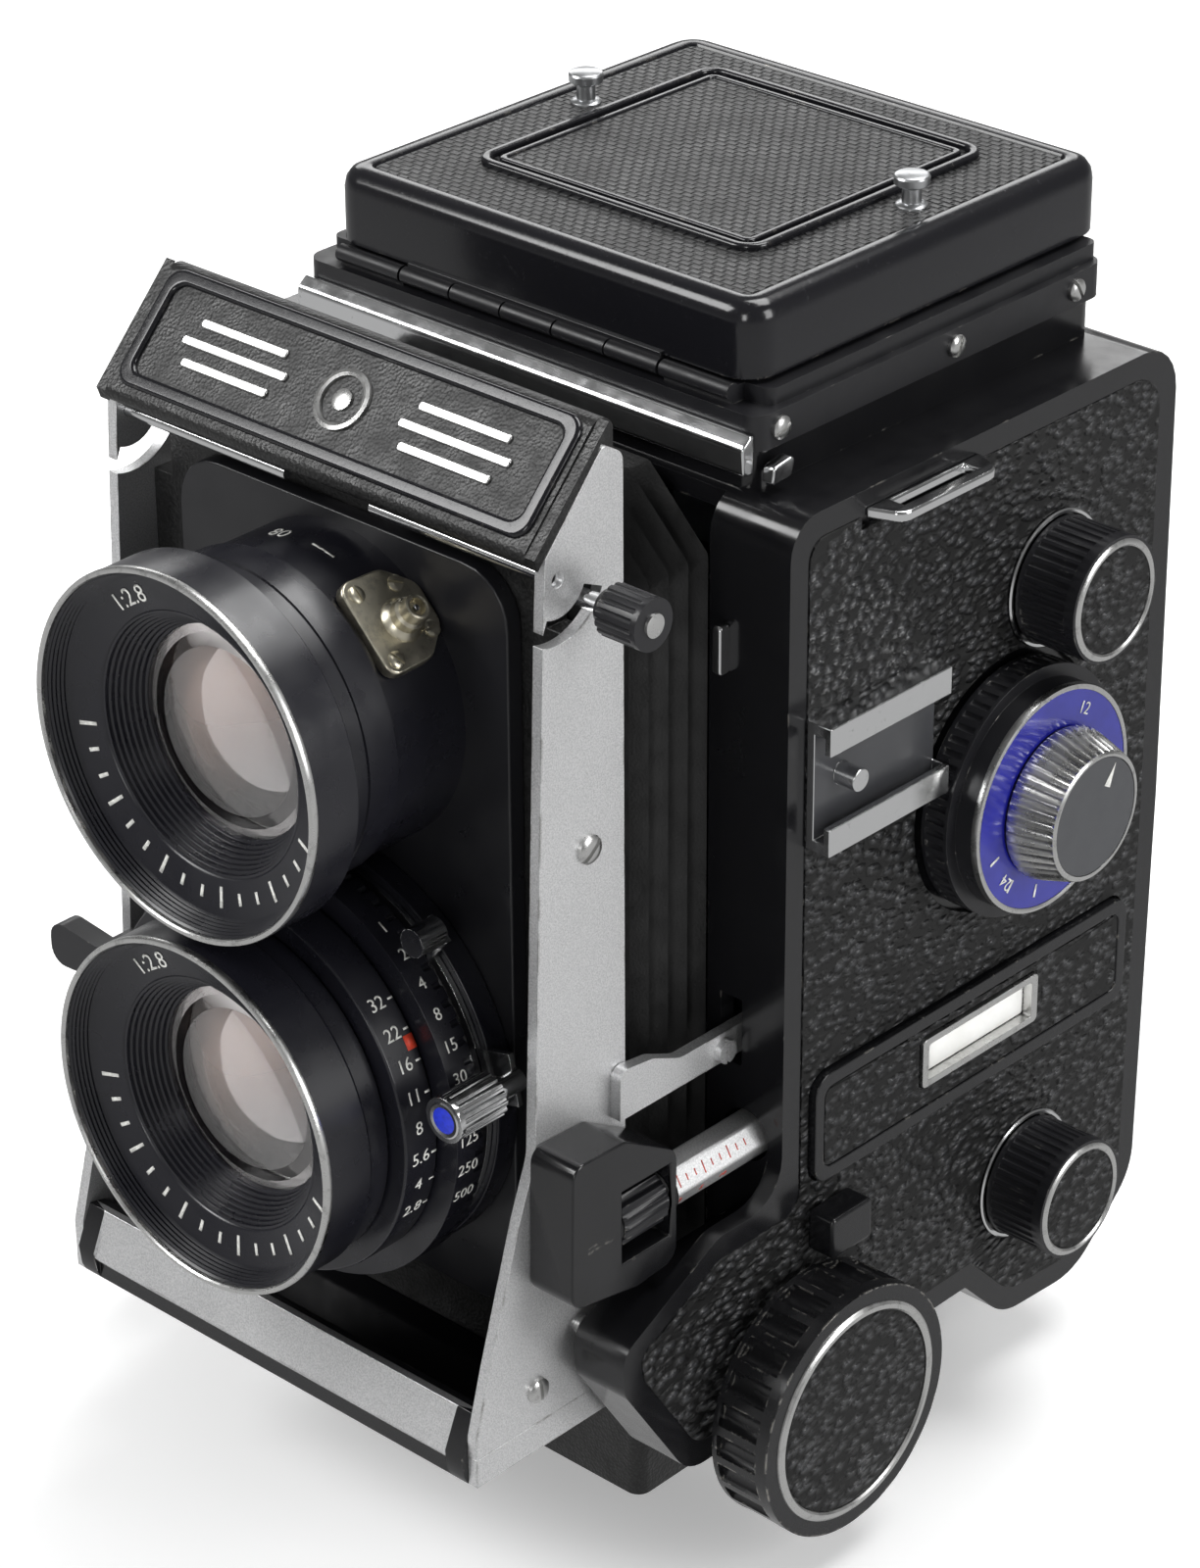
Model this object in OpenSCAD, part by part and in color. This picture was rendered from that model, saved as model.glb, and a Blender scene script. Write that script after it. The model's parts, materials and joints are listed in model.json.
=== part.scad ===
/* [Body] */
// Width of the body across the two side faces
body_w = 94; // [93.6:0.2:95]
// Thickness of the side walls
cheek_t = 2.4; // [2.2:0.1:2.4]
// Height of the body's shoulders above the tripod face
shoulder_z = 146; // [145.6:0.2:146.4]
// Face of the body front wall, measured from the tripod axis
front_y = -21; // [-21.4:0.1:-20.8]
// Half width of the block under the body
base_half = 29; // [26:0.5:30]
// Radius of the quarter-inch tripod thread
tripod_r = 3.175; // [3.1:0.005:3.2]

/* [Lenses] */
// Height of the taking lens axis
taking_z = 70.7; // [70.5:0.1:70.9]
// Distance between the two lens axes
lens_gap = 50; // [50:0.1:50.2]
// Radius of the front lens rings
bezel_r = 23.9; // [23.5:0.1:24.2]
// Face of the front lens rings
bezel_y = -78; // [-79:0.1:-77.8]
// Radius of the clear lens bore
glass_r = 16; // [15.5:0.1:16.5]

/* [Focusing] */
// Height of the focusing shaft
shaft_z = 23.9; // [23.8:0.05:24]
// Distance of the focusing shaft from the tripod axis, towards the front
shaft_y = -19.3; // [-19.4:0.1:-19.2]
// Tooth module of the rack and its pinions
rack_module = 0.5; // [0.48:0.01:0.5]
// Teeth on each focusing pinion
pinion_teeth = 16; // [16]
// Radius of the focusing knobs
focus_knob_r = 17.5; // [16:0.5:18]

/* [Film transport] */
// Height of the take-up spool
takeup_z = 121; // [120.8:0.1:121]
// Height of the supply spool
supply_z = 32.2; // [32.2:0.1:32.4]
// Teeth on the crank gear
crank_teeth = 38; // [38]
// Teeth on the take-up gear
takeup_teeth = 30; // [30]
// Tooth module of the winding gears
gear_module = 0.8; // [0.8]
// Radius of a roll-film spool flange
flange_r = 12.2; // [11.5:0.1:12.2]

/* [Hood] */
// Half width of the hood lid
lid_half = 35.4; // [35.2:0.1:35.8]
// Top face of the hood lid
lid_top_z = 168; // [167.8:0.1:168.4]
// Height of a raised hood wall
wall_h = 30.5; // [26:0.5:30.5]

/* [Hidden] */
$fn = 64;

// Clearances
run_gap = 0.05;
eps = 0.01;

// Body stations
half_w = body_w / 2;
cavity_half = half_w - cheek_t;
leather_sink = 0.8;
leather_x = half_w - leather_sink;
leather_t = 1;
front_wall_t = 2.4;
floor_z = 19;
bay_half = 38.6;
base_top_y = 36;
bush_r = 7;
bush_h = 8;

// Lens stations, front faces along the lens axis
viewing_z = taking_z + lens_gap;
board_y = -49.5;
board_t = 2.5;
panel_y = board_y + board_t;
panel_t = 3.5;
housing_r = 28.5;
core_r = 24.5;
neck_r = 22.5;
speed_r = 28.9;
aperture_r = 25.8;
lever_ring_r = 27.5;
lever_t = 0.8;
housing_y = -53;
speed_y = -60.6;
aperture_y = -66.4;
cocking_y = housing_y - 0.1;
release_y = cocking_y - 0.9;
sync_y = release_y - 0.9;

// Front standard
plate_x = 35.4;
plate_t = 1.6;
plate_back_y = -39.2;
plate_foot_z = 31;
sill_y = -66.6;
rail_x = 34.6;
rail_w = 2.4;
pinion_r = rack_module * pinion_teeth / 2;
rack_pitch_z = shaft_z + pinion_r;
rack_front_y = -37;
rack_rear_y = 24;
rail_foot_z = 26.8;
rail_top_z = 29.8;
shaft_r = 2.5;
bail_y = -50.4;
bail_z = 146.2;
bail_pin_y = -45.3;
bail_pin_z = 142;
bail_reach = norm([bail_pin_y - bail_y, bail_pin_z - bail_z]);
rod_x = 40.9;
rod_z = 59;
rod_r = 3.2;
wheel_r = 3.8;

// Film path
film_y = 43.5;
spool_y = 30;
supply_y = 28.8;
spool_half = 32;
crank_y = 22;
crank_z = 95;
roller_y = 41.2;
roller_r = 2;
roller_zs = [40.2, 101.2];
spool_pin_r = 1.95;
gate_top_z = shoulder_z - 2.4;
mirror_y = 10.2;
mirror_half = 32.2;
mirror_reach = 38;
gate_half = 27;
inner_wall_x = 32.9;
inner_wall_t = 1.3;

// Hood
hood_z = 151;
hood_front_y = -17;
hood_top_z = 157.8;
lid_skirt_z = 158.3;
lid_front_y = -15;
lid_rear_y = 53.5;
lid_t = 1.5;
lid_skin = 1.2;
lid_hinge_y = -15.6;
lid_hinge_z = 157.2;
side_hinge_x = 33;
side_hinge_z = 158.6;
rear_hinge_y = 48.5;
rear_hinge_z = 162.8;
hood_wall_t = 0.8;
hinge_rod_r = 0.5;

// Side controls
spool_knob_r = 8.5;
spool_knob_x = 57;
dial_y = 21.5;
dial_z = 95.3;
door_half = 42.8;
door_hinge_y = 52.2;
door_hinge_z = 21.5;
lock_y = -12.3;
lock_z = 45.2;

// ---- Outline helpers ----

function unit(v) = v / norm(v);

// Points of one corner: prev and next are its neighbours, the third number is the radius
function corner(prev, at, next, n) =
    let (a = unit([prev[0] - at[0], prev[1] - at[1]]),
         b = unit([next[0] - at[0], next[1] - at[1]]),
         half = acos(a * b) / 2,
         c = [at[0], at[1]] + unit(a + b) * at[2] / sin(half),
         from = [at[0], at[1]] + a * at[2] / tan(half) - c,
         to = [at[0], at[1]] + b * at[2] / tan(half) - c,
         start = atan2(from[1], from[0]),
         turn = (atan2(to[1], to[0]) - start + 540) % 360 - 180)
    [for (i = [0:n]) c + at[2] * [cos(start + turn * i / n), sin(start + turn * i / n)]];

// Closed outline through [a, b, corner radius] points
function rounded(p, n = 6) =
    [for (i = [0:len(p) - 1])
        each (p[i][2] > 0
            ? corner(p[(i + len(p) - 1) % len(p)], p[i], p[(i + 1) % len(p)], n)
            : [[p[i][0], p[i][1]]])];

// Box outline given by its two corners
function box_outline(a0, b0, a1, b1, r) =
    rounded([[a0, b0, r], [a1, b0, r], [a1, b1, r], [a0, b1, r]]);

// Outline in Y and Z, extruded along X
module slab_x(x0, x1) {
    translate([x0, 0, 0]) rotate([90, 0, 90]) linear_extrude(x1 - x0) children();
}

// Outline in X and Z, extruded along Y
module slab_y(y0, y1) {
    translate([0, y1, 0]) rotate([90, 0, 0]) linear_extrude(y1 - y0) children();
}

module slab_z(z0, z1) {
    translate([0, 0, z0]) linear_extrude(z1 - z0) children();
}

module block(lo, hi) {
    translate(lo) cube(hi - lo);
}

module rod_along_x(r, x0, x1, y, z) {
    translate([x0, y, z]) rotate([0, 90, 0]) cylinder(r = r, h = x1 - x0);
}

module rod_along_y(r, y0, y1, x, z) {
    translate([x, y1, z]) rotate([90, 0, 0]) cylinder(r = r, h = y1 - y0);
}

module rod_along_z(r, z0, z1, x, y) {
    translate([x, y, z0]) cylinder(r = r, h = z1 - z0);
}

module both_sides() {
    children();
    mirror([1, 0, 0]) children();
}

// Ring round a lens axis
module lens_ring(outer, inner, y0, y1, z) {
    difference() {
        rod_along_y(outer, y0, y1, 0, z);
        rod_along_y(inner, y0 - 1, y1 + 1, 0, z);
    }
}

// Outline of a spur gear with straight-flanked teeth, one tooth pointing along +Y
module gear_outline(teeth, m, play, first = 0) {
    r = teeth * m / 2;
    tip = 0.22;
    root = 0.75;
    circle(r = r - 1.1 * m);
    for (i = [0:teeth - 1])
        rotate(first + i * 360 / teeth)
            polygon([[-root * m, r - 1.25 * m], [root * m, r - 1.25 * m],
                [0.785 * m - play / 2, r], [tip * m, r + 0.9 * m],
                [-tip * m, r + 0.9 * m], [-0.785 * m + play / 2, r]]);
}

// Ring of shallow flutes cut into a knob
module flutes(count, ring_r, flute_r, x0, x1, y, z) {
    for (i = [0:count - 1])
        translate([0, y, z]) rotate([i * 360 / count, 0, 0])
            rod_along_x(flute_r, x0, x1, 0, ring_r);
}

// ---- Body ----

cheek_outline = rounded([[front_y, shoulder_z, 5], [front_y, 52, 6], [-33, 52, 5],
    [-50.8, 43, 3.5], [-50.4, 37, 4], [-38.6, floor_z, 6], [17.5, floor_z, 0.5],
    [26, 10.4, 9], [42, 9.4, 10], [54.2, 20.5, 9], [55.2, 80, 0], [54.6, shoulder_z, 7]]);

leather_outline = rounded([[-17.6, 142.6, 3], [-17.6, 48.6, 3], [-33, 48.6, 4],
    [-47.4, 41.2, 2], [-47, 37.8, 3], [-37, 22.6, 4], [18.5, 22.6, 1],
    [27, 13.9, 6], [41, 12.9, 8], [50.8, 22, 7], [51.6, 80, 0], [51, 142.6, 5]]);

cavity_outline = rounded([[front_y + front_wall_t, shoulder_z - 2.4, 2],
    [front_y + front_wall_t, 20.9, 1], [18.8, 20.9, 1], [27, 12.4, 8],
    [41, 11.6, 8], [49.4, 19, 4], [49.4, shoulder_z - 2.4, 0]]);

module body_shell() {
    color("#141416")
    difference() {
        union() {
            slab_x(-half_w, half_w) polygon(cheek_outline);
            slab_z(shoulder_z - 2, hood_z) polygon(box_outline(-37.5, hood_front_y, 37.5, 49.4, 3));
        }
        // bay of the front standard, and the gap above the nose blocks
        block([-bay_half, -60, 10], [bay_half, front_y, 60]);
        both_sides() block([bay_half - 1, -60, 47], [cavity_half, front_y, 60]);
        // film and mirror chambers
        slab_x(-cavity_half, cavity_half) polygon(cavity_outline);
        slab_z(shoulder_z - 4, hood_z + 1) polygon(box_outline(-34.5, -14, 34.5, 46.4, 2));
        // bellows opening, rail slot and pinion pockets
        block([-34.3, -25, 34], [34.3, front_y + 3, 148]);
        block([-bay_half, -25, 20.9], [bay_half, front_y + 3, 33]);
        both_sides() block([rail_x - 0.4, shaft_y - 5.4, 17], [plate_x + 2, shaft_y + 5.4, 22]);
        // scale rod hole and parallax arm slot
        rod_along_y(rod_r + 0.5, -30, -10, rod_x, rod_z);
        block([36.6, -30, 68.8], [40.1, -10, 78.4]);
        // door opening
        block([-door_half - 0.3, 49.3, 24], [door_half + 0.3, 60, 142]);
        block([-door_half - 0.3, 48.2, 17.6], [door_half + 0.3, 60, 24.5]);
        // sunk fields for the leather
        both_sides() slab_x(leather_x, half_w + 1) polygon(leather_outline);
        // bearings and bores
        both_sides() rod_along_x(shaft_r + run_gap, 30, 60, shaft_y, shaft_z);
        rod_along_x(3.05, 40, 60, spool_y, takeup_z);
        rod_along_x(3.05, 40, 60, supply_y, supply_z);
        rod_along_x(3.05, 40, 60, dial_y, dial_z);
        rod_along_x(1.65, 40, 60, lock_y, lock_z);
        rod_along_x(3.05, -60, -40, crank_y, crank_z);
        rod_along_x(2.05, -60, -40, spool_y, takeup_z);
        both_sides() rod_along_x(1.05, 40, 45.6, door_hinge_y, door_hinge_z);
        rod_along_x(2.05, -46, -40, supply_y, supply_z);
    }
}

module base_block() {
    color("#1b1b1d")
    difference() {
        union() {
            slab_z(0, floor_z) polygon(box_outline(-base_half, -28, base_half, 17.2, 2));
            slab_z(0, 8.8) polygon(box_outline(-base_half, 10, base_half, base_top_y, 2));
        }
        rod_along_z(bush_r, -1, bush_h, 0, 0);
    }
}

module tripod_bush() {
    color("#b9bbbd")
    difference() {
        rod_along_z(bush_r, 0, bush_h, 0, 0);
        rod_along_z(tripod_r, -1, bush_h - 1.5, 0, 0);
    }
}

module side_leathers() {
    color("#202022") {
        difference() {
            slab_x(leather_x, leather_x + leather_t) polygon(leather_outline);
            slab_x(leather_x - 1, half_w + 1) polygon(box_outline(-16.2, 51.4, 48.6, 67.8, 3));
            rod_along_x(9.2, 40, 60, spool_y, takeup_z);
            rod_along_x(9.2, 40, 60, supply_y, supply_z);
            rod_along_x(18, 40, 60, dial_y, dial_z);
            rod_along_x(9, 40, 60, shaft_y, shaft_z);
            rod_along_x(2.2, 40, 60, lock_y, lock_z);
            block([40, -8.2, 141], [60, 15, 145]);
        }
        difference() {
            slab_x(-leather_x - leather_t, -leather_x) polygon(leather_outline);
            rod_along_x(10, -60, -40, crank_y, crank_z);
            rod_along_x(9, -60, -40, shaft_y, shaft_z);
            block([-60, -8.2, 141], [-40, 15, 145]);
        }
    }
}

module indicator_band() {
    color("#19191b")
    difference() {
        slab_x(leather_x, half_w + 1.2) polygon(box_outline(-15.9, 51.7, 48.3, 67.5, 2.6));
        slab_x(half_w + 0.9, half_w + 2) polygon(box_outline(-14.2, 53.6, 46.6, 65.6, 1.6));
        slab_x(leather_x + 0.6, half_w + 2) polygon(box_outline(5, 56.6, 29, 64.1, 0.8));
    }
}

module window_plate() {
    color("#f2f2ee") {
        slab_x(leather_x + 0.6, half_w) polygon(box_outline(6.4, 57.8, 27.6, 62.9, 0.4));
        difference() {
            slab_x(leather_x + 0.6, half_w + 1.5)
                polygon(box_outline(5.1, 56.7, 28.9, 64, 0.8));
            slab_x(leather_x, half_w + 2) polygon(box_outline(6.3, 57.7, 27.7, 63, 0.4));
        }
    }
}

module accessory_shoe() {
    lip = 2.2;
    color("#c6c8ca") {
        difference() {
            block([half_w + 0.2, -17.7, 101.4], [half_w + 4, 5.3, 119]);
            block([half_w + 1.4, -18, 103], [half_w + 3, 5, 117.4]);
            block([half_w + 1.4, -18, 101.4 + lip + 1.6], [half_w + 5, 6, 119 - lip - 1.6]);
        }
        rod_along_x(1.5, half_w + 1.4, half_w + 4.6, -12.6, 110.4);
    }
}

module strap_lugs() {
    color("#cfd1d2")
    both_sides() difference() {
        slab_z(142.2, 143.6)
            polygon(rounded([[half_w, -7.4, 0], [half_w + 4.6, -5.6, 2.4],
                [half_w + 4.6, 12.4, 2.4], [half_w, 14.2, 0]]));
        block([half_w + 0.8, -3.4, 140], [half_w + 2.9, 10.2, 146]);
    }
}

module front_trim() {
    color("#d0d3d6")
    slab_x(-37.7, 37.7)
        polygon(rounded([[hood_front_y, 148.4, 0], [hood_front_y - 1.9, 148.4, 0.8],
            [hood_front_y - 2.2, 152.2, 1.2], [hood_front_y - 0.7, 153.4, 0.5],
            [hood_front_y, 153.4, 0]]));
}

// ---- Film and mirror chambers ----

module mirror_plane(t0, t1, half, reach) {
    translate([0, mirror_y, viewing_z]) rotate([45, 0, 0])
        block([-half, -reach, -t1], [half, reach, -t0]);
}

module mirror_glass() {
    color("#9aa6ad") mirror_plane(0, 0.9, mirror_half, mirror_reach);
}

module mirror_holder() {
    color("#2c2c2e") {
        both_sides() translate([0, mirror_y, viewing_z]) rotate([45, 0, 0])
            block([mirror_half, -mirror_reach, -2.4], [inner_wall_x, mirror_reach, 1.2]);
        block([-inner_wall_x, -15.6, 90.2], [inner_wall_x, -13.4, 93.4]);
    }
}

module film_gate() {
    color("#1a1a1c")
    difference() {
        union() {
            both_sides() slab_x(inner_wall_x, inner_wall_x + inner_wall_t)
                polygon(rounded([[-17.4, 34, 0], [13, 34, 0], [13, 21.4, 0], [19.4, 21.4, 1],
                    [27.4, 13.2, 6], [41, 12.6, 6], [46.5, 20, 3], [46.5, 136, 3],
                    [34.5, gate_top_z, 0], [-13.5, gate_top_z, 0], [-17.4, 138, 2]]));
            block([-inner_wall_x - eps, film_y - 1.6, 43.3], [inner_wall_x + eps, film_y, 98.1]);
            rod_along_x(spool_pin_r, -inner_wall_x - eps, -spool_half + 3, supply_y, supply_z);
        }
        block([-gate_half, film_y - 5, taking_z - 25.4],
            [gate_half, film_y + 5, taking_z + 25.4]);
        both_sides() {
            rod_along_x(2.05, 32.5, 36, spool_y, takeup_z);
            for (z = roller_zs)
                rod_along_x(1 + run_gap, 32.5, 36, roller_y, z);
        }
        rod_along_x(2.05, 32.5, 36, supply_y, supply_z);
    }
}

module film_roller(z) {
    color("#aeb1b4") {
        rod_along_x(roller_r, -inner_wall_x + 0.3, inner_wall_x - 0.3, roller_y, z);
        rod_along_x(1, -inner_wall_x - inner_wall_t, inner_wall_x + inner_wall_t, roller_y, z);
    }
}

module film_roller_lower() {
    film_roller(roller_zs[0]);
}

module film_roller_upper() {
    film_roller(roller_zs[1]);
}

module spool(y, z) {
    difference() {
        union() {
            rod_along_x(6, -spool_half, spool_half, y, z);
            rod_along_x(flange_r, -spool_half, -spool_half + 1, y, z);
            rod_along_x(flange_r, spool_half - 1, spool_half, y, z);
        }
        rod_along_x(2, -spool_half - 1, spool_half + 1, y, z);
        block([-spool_half + 8, y + 3.4, z - 0.6], [spool_half - 8, y + 8, z + 0.6]);
    }
}

module supply_spool() {
    color("#30353b") spool(supply_y, supply_z);
}

module takeup_spool() {
    color("#30353b") spool(spool_y, takeup_z);
}

module takeup_gear() {
    color("#b09a5a") {
        translate([-42.9, spool_y, takeup_z]) rotate([90, 0, 90])
            linear_extrude(3) gear_outline(takeup_teeth, gear_module, 0.3);
        rod_along_x(2, -46, -spool_half + 3, spool_y, takeup_z);
    }
}

module crank() {
    color("#c2c4c6") {
        translate([-42.9, crank_y, crank_z]) rotate([90, 0, 90])
            linear_extrude(3)
                gear_outline(crank_teeth, gear_module, 0.3, crank_first);
        rod_along_x(3, -48.4, -39.4, crank_y, crank_z);
        difference() {
            rod_along_x(9, -54.4, -47.6, crank_y, crank_z);
            flutes(28, 9.5, 0.9, -52, -46, crank_y, crank_z);
        }
        slab_x(-54.4, -52.2) polygon(rounded([[crank_y - 5, crank_z + 5, 4.9],
            [crank_y - 4, crank_z - 35, 3.9], [crank_y + 4, crank_z - 35, 3.9],
            [crank_y + 5, crank_z + 5, 4.9]]));
        rod_along_x(1.6, -60.6, -54.4 + eps, crank_y, crank_z - 30);
    }
}

// The take-up gear has a tooth along +Z. Its phase on the line of centres sets the crank gear
crank_line = atan2(takeup_z - crank_z, spool_y - crank_y);
to_crank = crank_line + 180;
takeup_pitch = 360 / takeup_teeth;
crank_pitch = 360 / crank_teeth;
takeup_offset = (to_crank - 90) / takeup_pitch - round((to_crank - 90) / takeup_pitch);
crank_first = crank_line - 90 + crank_pitch * (takeup_offset + 0.5);

module crank_handle() {
    color("#1c1c1e")
    difference() {
        rod_along_x(4.2, -60.4, -54.7, crank_y, crank_z - 30);
        rod_along_x(1.65, -62, -50, crank_y, crank_z - 30);
        flutes(18, 4.5, 0.5, -59.6, -55.4, crank_y, crank_z - 30);
    }
}

// ---- Back door ----

module back_door() {
    color("#161618") {
        difference() {
            union() {
                slab_y(50, 54) polygon(box_outline(-door_half, 21, door_half, 141.6, 1));
                rod_along_x(2, -door_half, door_half, door_hinge_y, door_hinge_z);
            }
            slab_y(53.2, 55) polygon(box_outline(-39, 27, 39, 138, 3));
        }
        slab_y(53.2, 54.2) polygon(box_outline(-38.8, 27.2, 38.8, 137.8, 3));
        both_sides() rod_along_x(1, door_half - eps, door_half + 2.6, door_hinge_y, door_hinge_z);
        slab_y(film_y + 0.4, film_y + 1.8)
            polygon(box_outline(-31, taking_z - 29, 31, taking_z + 29, 2));
        for (x = [-18, 18], z = [taking_z - 18, taking_z + 18])
            rod_along_y(2, film_y + 1.8 - eps, 50 + eps, x, z);
    }
}

module back_latch() {
    color("#c4c6c8") {
        slab_y(54.3, 55.3) polygon(box_outline(-9, 128, 7, 134.5, 1.5));
        for (i = [0:4])
            block([-6 + 2.4 * i, 55.3 - eps, 129], [-4.8 + 2.4 * i, 56.1, 133.5]);
    }
}

// ---- Hood ----

module hood_base() {
    color("#17171a")
    difference() {
        union() {
            slab_z(hood_z, 155.6) polygon(box_outline(-38.2, hood_front_y, 38.2, 50.2, 2.5));
            slab_z(155, hood_top_z) polygon(box_outline(-37, -13.4, 37, 50.2, 1.5));
            both_sides() {
                rod_along_x(1.1, 22, 33, lid_hinge_y, lid_hinge_z);
                block([22, lid_hinge_y, 155], [33, lid_hinge_y + 3, 157.8]);
                rod_along_x(0.55, 17, 23, lid_hinge_y, lid_hinge_z);
                for (y = [-12, 47.3])
                    block([side_hinge_x - 0.9, y, 157], [side_hinge_x + 0.9, y + 0.9, 159.5]);
                block([31.3, rear_hinge_y - 1, 157], [32.3, rear_hinge_y + 0.9, 163.7]);
            }
            block([-31.4, rear_hinge_y - 0.3, 157], [31.4, rear_hinge_y + 0.9, 161.9]);
        }
        slab_z(150, 152.4) polygon(box_outline(-28, -10.8, 28, 44.4, 2));
        slab_z(152.4, 160) polygon(box_outline(-30.4, -12.4, 30.4, 46.2, 1));
        both_sides() {
            rod_along_y(hinge_rod_r + run_gap, -13, 49, side_hinge_x, side_hinge_z);
            rod_along_x(hinge_rod_r + run_gap, 30, 33, rear_hinge_y, rear_hinge_z);
        }
    }
}

module focusing_screen() {
    color("#b8c4c8") slab_z(152.4, 154.2) polygon(box_outline(-30.2, -12.2, 30.2, 46, 1));
}

module slotted_screw(x, y, z, r) {
    difference() {
        rod_along_x(r, x, x + 1, y, z);
        block([x + 0.5, y - 0.25, z - r], [x + 2, y + 0.25, z + r]);
    }
}

module hood_screws() {
    color("#c8cacc")
    both_sides() for (y = [-13, 20, 44])
        slotted_screw(38.2, y, 153.4, 1.5);
}

module hood_lid() {
    color("#121214") {
        difference() {
            union() {
                slab_z(lid_skirt_z, lid_top_z)
                    polygon(box_outline(-lid_half, lid_front_y, lid_half, lid_rear_y, 4));
                rod_along_x(1.1, -21.7, 21.7, lid_hinge_y, lid_hinge_z);
                block([-21.7, lid_hinge_y, 157.2], [21.7, lid_front_y + 0.8, 159]);
            }
            slab_z(150, lid_top_z - lid_t)
                polygon(box_outline(-lid_half + lid_skin, lid_front_y + lid_skin,
                    lid_half - lid_skin, lid_rear_y - lid_skin, 3));
            rod_along_x(0.6, -22, -16, lid_hinge_y, lid_hinge_z);
            rod_along_x(0.6, 16, 22, lid_hinge_y, lid_hinge_z);
        }
    }
    color("#c8cacc")
    both_sides() {
        rod_along_z(1.35, lid_top_z - 0.5, lid_top_z + 3, 27.4, 24.1);
        rod_along_z(2.2, lid_top_z + 2.6, lid_top_z + 4, 27.4, 24.1);
    }
}

// Folded side wall: [distance along the body, height from its hinge]
side_wall_outline = [[-11, 0], [-11, 13], [2.6, wall_h], [27, wall_h], [44.4, 7],
    [46.9, 4], [46.9, 0]];

module hood_side_wall() {
    slab_z(side_hinge_z - hood_wall_t / 2, side_hinge_z + hood_wall_t / 2)
        polygon([for (p = side_wall_outline) [side_hinge_x - p[1], p[0]]]);
    rod_along_y(hinge_rod_r, -12.6, 48.2, side_hinge_x, side_hinge_z);
}

module hood_wall_right() {
    color("#232325") hood_side_wall();
}

module hood_wall_left() {
    color("#232325") mirror([1, 0, 0]) hood_side_wall();
}

module hood_wall_rear() {
    color("#232325") {
        slab_z(rear_hinge_z - hood_wall_t / 2, rear_hinge_z + hood_wall_t / 2)
            polygon([[-31, rear_hinge_y], [31, rear_hinge_y],
                [31, rear_hinge_y - wall_h], [-31, rear_hinge_y - wall_h]]);
        rod_along_x(hinge_rod_r, -32.3, 32.3, rear_hinge_y, rear_hinge_z);
    }
}

module magnifier() {
    color("#8fa0aa")
    difference() {
        slab_z(164, lid_top_z - lid_t) polygon(box_outline(-17, 17, 17, 51, 4));
        rod_along_z(13.5, 160, 170, 0, 34);
    }
    color("#c9d6dc") rod_along_z(13.5, 164.4, 166.2, 0, 34);
}

// ---- Front standard ----

plate_outline = rounded([[plate_back_y, plate_foot_z, 0], [plate_back_y, 158.6, 2],
    [-42.6, 160.6, 1.2], [-52.4, 149.6, 0.8], [-52.9, 140, 0], [-55.4, 70, 8],
    [-58.4, 61.9, 6], [-64, 43.4, 8], [sill_y, 34, 2], [sill_y, plate_foot_z, 0]]);

module side_plates() {
    color("#c9cbcd")
    both_sides() difference() {
        slab_x(plate_x, plate_x + plate_t) polygon(plate_outline);
        // curved slot that the bail pin swings in
        difference() {
            rod_along_x(bail_reach + 1.7, 30, 40, bail_y, bail_z);
            rod_along_x(bail_reach - 1.7, 29, 41, bail_y, bail_z);
            translate([0, bail_y, bail_z]) rotate([-24, 0, 0])
                block([25, -20, 0], [45, 20, 20]);
            translate([0, bail_y, bail_z]) rotate([158, 0, 0])
                block([25, 0, -20], [45, 20, 20]);
        }
        rod_along_x(1.7, 30, 40, bail_pin_y, bail_pin_z);
        rod_along_x(0.9 + run_gap, 30, 40, bail_y, bail_z);
    }
}

module front_panel() {
    color("#1d1d1f")
    difference() {
        slab_y(panel_y, panel_y + panel_t)
            polygon(box_outline(-plate_x, 31, plate_x, 149, 0.5));
        slab_y(panel_y - 1, panel_y + panel_t + 1)
            polygon(box_outline(-26, 45, 26, 93, 6));
        slab_y(panel_y - 1, panel_y + panel_t + 1)
            polygon(box_outline(-26, 97, 26, 142, 6));
        // notches for the arm and pin of the bail
        both_sides() block([32, panel_y - 1, 137.2], [plate_x + 1, panel_y + panel_t + 1, 150]);
    }
}

module front_sill() {
    sill_half = 32.4;
    tray_y = panel_y + panel_t + 1.9;
    color("#bfc1c3")
    slab_x(-sill_half, sill_half)
        polygon([[-64, 36.4], [-65.2, 36.6], [-67.4, 30.2], [sill_y, 29.2]]);
    color("#161618") {
        slab_x(-plate_x, plate_x)
            polygon([[sill_y, rail_foot_z], [sill_y, 29.2], [-64, 36.4], [-62.6, 36],
                [-64.6, 29], [tray_y - 1.9, 29], [tray_y - 1.9, plate_foot_z],
                [tray_y, plate_foot_z], [tray_y, rail_foot_z]]);
        both_sides() slab_x(sill_half, plate_x)
            polygon([[-64, 36.4], [-65.2, 36.6], [-67.6, 31], [-67.2, 28],
                [sill_y, rail_foot_z], [sill_y, 29.2]]);
    }
}

// Rack rail: a plain front stretch and a thin toothed stretch that slides through the body
rack_pitch = PI * rack_module;
rack_count = floor((rack_rear_y - rack_front_y) / rack_pitch);

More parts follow.
